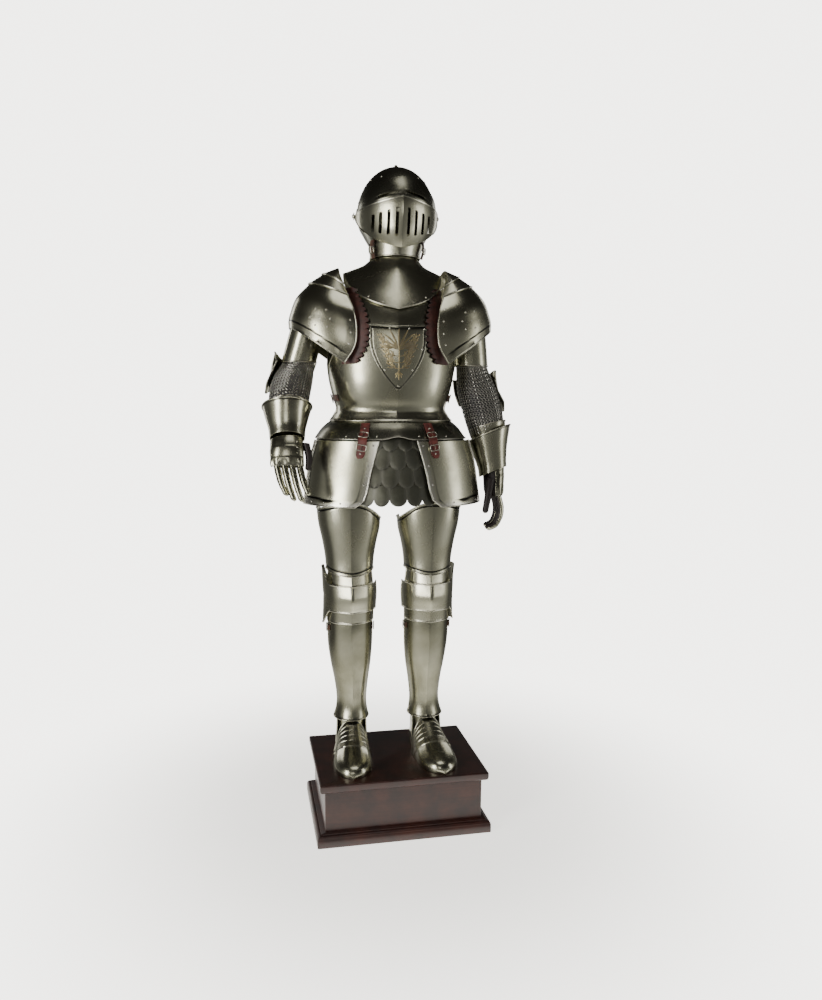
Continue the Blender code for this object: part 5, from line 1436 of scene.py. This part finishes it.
def skull_shell():
    """The skull, closed at its crest, with the face left open: cells below the brow and between the
    cheek lines aren't made."""
    table = skull_rows()
    cheek = np.arcsin(np.clip(0.075 / np.maximum(table[:, 3], 0.0751), 0, 1))
    cheek[table[:, 2] > 0.058] = cheek[table[:, 2] <= 0.058][-1]
    turns = between([cheek - 2 * math.pi, -cheek], [64]), between([-cheek, cheek], [24])
    turns = np.concatenate([turns[0], turns[1][:, 1:-1]], axis=1)
    grid = section(table[:, None, :], turns)
    rows, columns = grid.shape[:2]
    keep = np.ones((rows - 1, columns), bool)
    keep[:, 64:] = (table[1:, 2] > 0.060)[:, None]
    return walled(grid, PLATE, ring=True, keep=keep)


def height_share(face, u, heights):
    """Where each line u of a face reaches a height: read between 65 even steps of the line."""
    steps = np.linspace(0.0, 1.0, 65)
    lines = face(*np.broadcast_arrays(u, steps[:, None]))[..., 2].T
    return np.array([np.interp(height, line, steps) for height, line in zip(heights, lines)])


def slot_holes(face):
    """Grid lines for the eight slots of the ventail. Over a slot's width its ends are half circles:
    the half width less the root of its square less the squared distance from the slot's middle."""
    reach, top, bottom = VENTAIL_SLOTS.T
    half = SLOT_WIDE / 2
    slot = reach[:, None] + half * np.array([-1.0, -0.92, -0.7, -0.38, 0.0, 0.38, 0.7, 0.92, 1.0])
    gaps = [np.linspace(a + half + 3 * MM, b - half - 3 * MM, 4) for a, b in zip(reach, reach[1:])]
    inner, outer = [1.6 * MM, 5 * MM, 9 * MM], np.linspace(0.089, 0.1235, 12)
    x = both_ways(np.concatenate([inner, slot.ravel(), *gaps, outer]))
    u = across_share(x, VENTAIL_WIDE)
    distance = np.abs(np.abs(x)[:, None] - reach).min(axis=1)
    round_end = half - np.sqrt(np.clip(half**2 - distance**2, 0, None))
    lower = height_share(face, u, np.interp(np.abs(x), reach, bottom) + round_end)
    upper = height_share(face, u, np.interp(np.abs(x), reach, top) - round_end)
    middle = np.abs((x[1:] + x[:-1]) / 2)
    opened = (np.abs(middle[:, None] - reach) < half).any(axis=1)
    return u, lower, upper, opened, (9, 14, 8)


def sight_line(x):
    """Height of the middle of the eye sights: it falls evenly to either side, and curves down at the
    outer ends."""
    out = np.abs(x) - SIGHT_NEAR
    return SIGHT_TOP - SIGHT_FALL * out - SIGHT_CURVE * out**2


def sight_holes(face):
    """Grid lines for the two long eye sights, which narrow at their ends as the root of 1 - e
    squared, e being the share of the last few millimetres."""
    long = SIGHT_FAR - SIGHT_NEAR
    sight = SIGHT_NEAR + long * np.array([0.0, 0.01, 0.03, 0.06, 0.12, 0.2, 0.3, 0.4, 0.5, 0.6, 0.7, 0.8,
                                          0.88, 0.94, 0.97, 0.99, 1.0])
    outer = np.linspace(SIGHT_FAR + 3 * MM, 0.1195, 16)
    x = both_ways(np.concatenate([[1.6 * MM, 5 * MM], sight, outer]))
    u = across_share(x, VISOR_WIDE)
    inside = np.minimum(np.abs(x) - SIGHT_NEAR, SIGHT_FAR - np.abs(x))
    end = np.clip(1 - inside / (4 * MM), 0, 1)
    beyond = SIGHT_TIP - inside / (6 * MM)
    narrow = np.where(inside > -1e-6, np.maximum(np.sqrt(1 - end**2), SIGHT_TIP), beyond)
    half = SIGHT_TALL / 2 * np.clip(narrow, SIGHT_TIP, 1.0)
    line = sight_line(x)
    lower = height_share(face, u, line - half)
    upper = height_share(face, u, line + half)
    middle = np.abs((x[1:] + x[:-1]) / 2)
    return u, lower, upper, (middle > SIGHT_NEAR) & (middle < SIGHT_FAR), (12, 3, 14)


def sight_lip(u, v, grid):
    """A raised lip below each sight, and a low swell above it."""
    x, z = grid[..., 0], grid[..., 2]
    reach = smooth(np.abs(x), 0.003, 0.012) * (1 - smooth(np.abs(x), 0.070, 0.080))
    below = hump(z - sight_line(x), -6.5 * MM, 2.4 * MM)
    above = hump(z - sight_line(x), 5.5 * MM, 2.0 * MM)
    return (1.5 * MM * below + 0.8 * MM * above) * reach


def pivot_parts():
    """A washer and a domed head at each end of the temple axis: rings of each radius at each stop."""
    turn = whole_turn(36)
    out, radius = PIVOT.T[..., None]
    y, z = radius * np.cos(turn), radius * np.sin(turn)
    return join(*(closed(xyz(side * out + 0 * turn, side * y, z)) for side in (-1, 1)))


def chin_strap(side):
    """A short strap at the side of the neck, from the helmet's cheek down to the collar."""
    def face(u, v):
        turns = side * math.radians(62) + (2 * u - 1) * 0.11
        lift = 1.5 * MM - 5 * MM * (1 - v) + 4 * MM * np.sin(math.pi * v)
        points = section(sections((0, 0, 0, 86, 96, 90))[0] + 0 * u[..., None], turns, lift)
        points[..., 2] = NECK_STRAP[0] + NECK_STRAP[1] * v
        return points
    return face


def make_helmet():
    """Skull with its finial, lining rivets and neck straps; visor with two sights; slotted ventail."""
    make("skull_shell", skull_shell(), browned_steel, ["helmet_skull"], place=on_temple)
    make("helmet_pivots", pivot_parts(), satin_steel, place=on_temple)
    angle = np.radians([38, 66, 96, 130, 160, 200, 230, 264, 294, 322])[:, None]
    table = skull_rows()
    dome = len(table) - len(FINIAL)
    low, high = table[np.interp([0.050, 0.098], table[:dome, 2], np.arange(dome)).astype(int)]
    spots = np.concatenate([section(high + 0 * angle, angle[:, 0]),
                            section(low + 0 * angle[2:-2], angle[2:-2, 0])])
    facing = spots * (1 / SKULL_WIDE**2, 1 / SKULL_TALL**2, 1 / SKULL_TALL**2)
    facing = unit(facing)
    heads = rivets([(spots, facing)], 2.8 * MM, 1.6 * MM)
    make("skull_rivets", heads, satin_steel, place=on_temple)
    visor = temple_face(VISOR_WIDE, VISOR_TALL, *VISOR_SPAN)
    shell = plate(visor, 80, 28, rims="", relief=sight_lip, holes=sight_holes(visor))
    make("visor_shell", shell, browned_steel, ["visor"], "visor_body", place=on_temple)
    ventail = temple_face(VENTAIL_WIDE, VENTAIL_TALL, *VENTAIL_SPAN)
    shell = plate(ventail, 80, 36, rims="t", roll=1.2 * MM, holes=slot_holes(ventail))
    make("ventail_shell", shell, satin_steel, ["ventail"], "ventail_body", place=on_temple)
    x = np.array([-24, -36, -48, -60, 24, 36, 48, 60]) / 1000
    u = across_share(x, VENTAIL_WIDE)
    dots = rivets([seat(ventail, u, height_share(ventail, u, -0.088 + 0 * x))], 1.3 * MM, 0.7 * MM)
    make("ventail_rivets", dots, satin_steel, body="ventail_body", place=on_temple)
    for side, tag in SIDES:
        face = chin_strap(side)
        strap = make("neck_strap_leather" + tag, band(face, 6, 16, "lr"), brown_leather, place=on_temple)
        clasp = upright_buckle(face, 0.5, 0.45, 26 * MM, 18 * MM)
        make("neck_strap_buckle" + tag, clasp, satin_steel, place=on_temple)


# Brightness of the pale ground behind the suit, and the studio's colours and the height lamps aim at
SURROUND = 5.0
PALE, CEILING, LAMP_WARMTH, AIM_HEIGHT = "#F7F5EF", "#262523", (1.0, 0.985, 0.955), 1.1
# Brightness of the room's walls, from straight behind the suit to straight ahead of it, by the cosine
# of the direction: grey behind, dark at the sides, a bright band to either side of the viewer
WALLS = [(0.0, 0.38), (0.10, 0.12), (0.40, 0.08), (0.60, 0.50), (0.76, 0.62), (0.90, 0.20), (1.0, 0.15)]
AHEAD = (0.10, -0.995, 0.0)
# Soft boxes: place, width, height, power
LAMPS = [("key_box", (-2.7, -1.9, 1.5), 0.9, 2.6, 85.0), ("fill_box", (2.9, -1.2, 1.4), 0.8, 2.6, 18.0),
         ("front_box", (-0.9, -3.6, 2.3), 0.8, 1.4, 9.0), ("top_box", (0.2, -0.9, 4.2), 1.6, 1.2, 14.0),
         ("rear_box", (-1.8, 2.6, 1.8), 0.6, 2.2, 12.0), ("rear_box_2", (2.2, 2.4, 1.8), 0.6, 2.2, 10.0)]


def make_floor():
    """A pale floor of rings, which fades into the pale surround."""
    turn = whole_turn(96)
    radii = np.array([0.001, 1.0, 2.0, 4.0, 8.0])[:, None]
    points = xyz(radii * np.cos(turn), radii * np.sin(turn), -0.0005 + 0 * radii * turn)
    mesh = bpy.data.meshes.new("studio_floor")
    mesh.from_pydata(points.reshape(-1, 3).tolist(), [], grid_faces(5, 96, True)[:, ::-1].tolist())
    floor = placed("studio_floor", mesh)
    made, tree, shader, place = finish("pale_floor", None, Base_Color=linear("#F4F2EC"), Roughness=0.9,
                                       Emission_Color=linear(PALE), Emission_Strength=1.8)
    distance = add(tree, "VectorMath", {0: place}, operation="LENGTH").outputs["Value"]
    gone = add(tree, "MapRange", {"Value": distance, "From Min": 0.35, "From Max": 1.5},
               interpolation_type="SMOOTHSTEP").outputs[0]
    clear = add(tree, "BsdfTransparent")
    blend = add(tree, "MixShader", {0: gone, 1: shader.outputs[0], 2: clear.outputs[0]})
    tree.links.new(blend.outputs[0], tree.nodes["Material Output"].inputs["Surface"])
    mesh.materials.append(made)
    floor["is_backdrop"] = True


def make_lamps():
    """Soft boxes to either side, in front, above and behind, aimed at the middle of the suit."""
    for name, spot, wide, tall, power in LAMPS:
        light = bpy.data.lights.new(name, "AREA")
        light.shape = "RECTANGLE"
        light.size, light.size_y, light.energy = wide, tall, power
        light.color = LAMP_WARMTH
        lamp = placed(name, light)
        lamp.location = spot
        aim = Vector((0, 0, AIM_HEIGHT)) - Vector(spot)
        lamp.rotation_euler = aim.to_track_quat("-Z", "Y").to_euler()


def make_surround():
    """The room that the steel reflects, by direction and height, and the pale ground that is seen."""
    world = bpy.data.worlds.new("studio_surround")
    bpy.context.scene.world = world
    world.use_nodes = True
    tree = world.node_tree
    tree.nodes.clear()
    ray = add(tree, "LightPath").outputs["Is Camera Ray"]
    facing = add(tree, "TexCoord").outputs["Generated"]
    height = add(tree, "SeparateXYZ", {0: facing}).outputs["Z"]
    share = add(tree, "MapRange", {"Value": height, "From Min": 0.10, "From Max": 0.50},
                interpolation_type="SMOOTHSTEP").outputs[0]
    flat = add(tree, "VectorMath", {0: facing, 1: (1.0, 1.0, 0.0)}, operation="MULTIPLY").outputs[0]
    flat = add(tree, "VectorMath", {0: flat}, operation="NORMALIZE").outputs[0]
    ahead = add(tree, "VectorMath", {0: flat, 1: AHEAD}, operation="DOT_PRODUCT").outputs["Value"]
    round_room = add(tree, "MapRange", {"Value": ahead, "From Min": -1.0, "From Max": 1.0}).outputs[0]
    ramp = add(tree, "ValToRGB", {0: round_room})
    for _ in range(len(WALLS) - 2):
        ramp.color_ramp.elements.new(0.5)
    for element, (stop, shade) in zip(ramp.color_ramp.elements, WALLS):
        element.position = stop
        element.color = (shade, shade, shade * 0.96, 1.0)
    room = {0: share, 6: ramp.outputs[0], 7: linear(CEILING)}
    room = add(tree, "Mix", room, data_type="RGBA").outputs[2]
    seen = add(tree, "Background", {"Color": linear(PALE), "Strength": SURROUND})
    lit = add(tree, "Background", {"Color": room, "Strength": 1.0})
    both = add(tree, "MixShader", {0: ray, 1: lit.outputs[0], 2: seen.outputs[0]})
    tree.links.new(both.outputs[0], add(tree, "OutputWorld").inputs["Surface"])


def make_camera():
    """The photograph's view, solved from the plinth's corners. Heading, pitch and roll are in degrees.
    The shift and focal length are in shares of the frame's height."""
    place, heading, pitch, roll = (-0.474, -2.404, 1.317), -10.91, 7.42, 0.27
    data = bpy.data.cameras.new("view_camera")
    data.sensor_width = 36.0
    data.lens = 0.798 * data.sensor_width
    data.shift_x, data.shift_y = 0.0185, 0.0060
    camera = placed("view_camera", data)
    turned = [Matrix.Rotation(math.radians(turn), 4, axis)
              for turn, axis in ((heading, "Z"), (90 - pitch, "X"), (roll, "Z"))]
    camera.matrix_world = Matrix.Translation(place) @ (turned[0] @ turned[1] @ turned[2])
    bpy.context.scene.camera = camera


for step in (make_plinth, make_trunk, make_waist, make_neck, make_shoulders, make_arms, make_legs,
             make_helmet, make_floor, make_lamps, make_surround, make_camera):
    step()


def corners(bounds):
    """A box as plain lists of numbers."""
    return [[float(value) for value in corner] for corner in bounds]


{"cad": corners(cad_bounds), "visual": corners(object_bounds())}
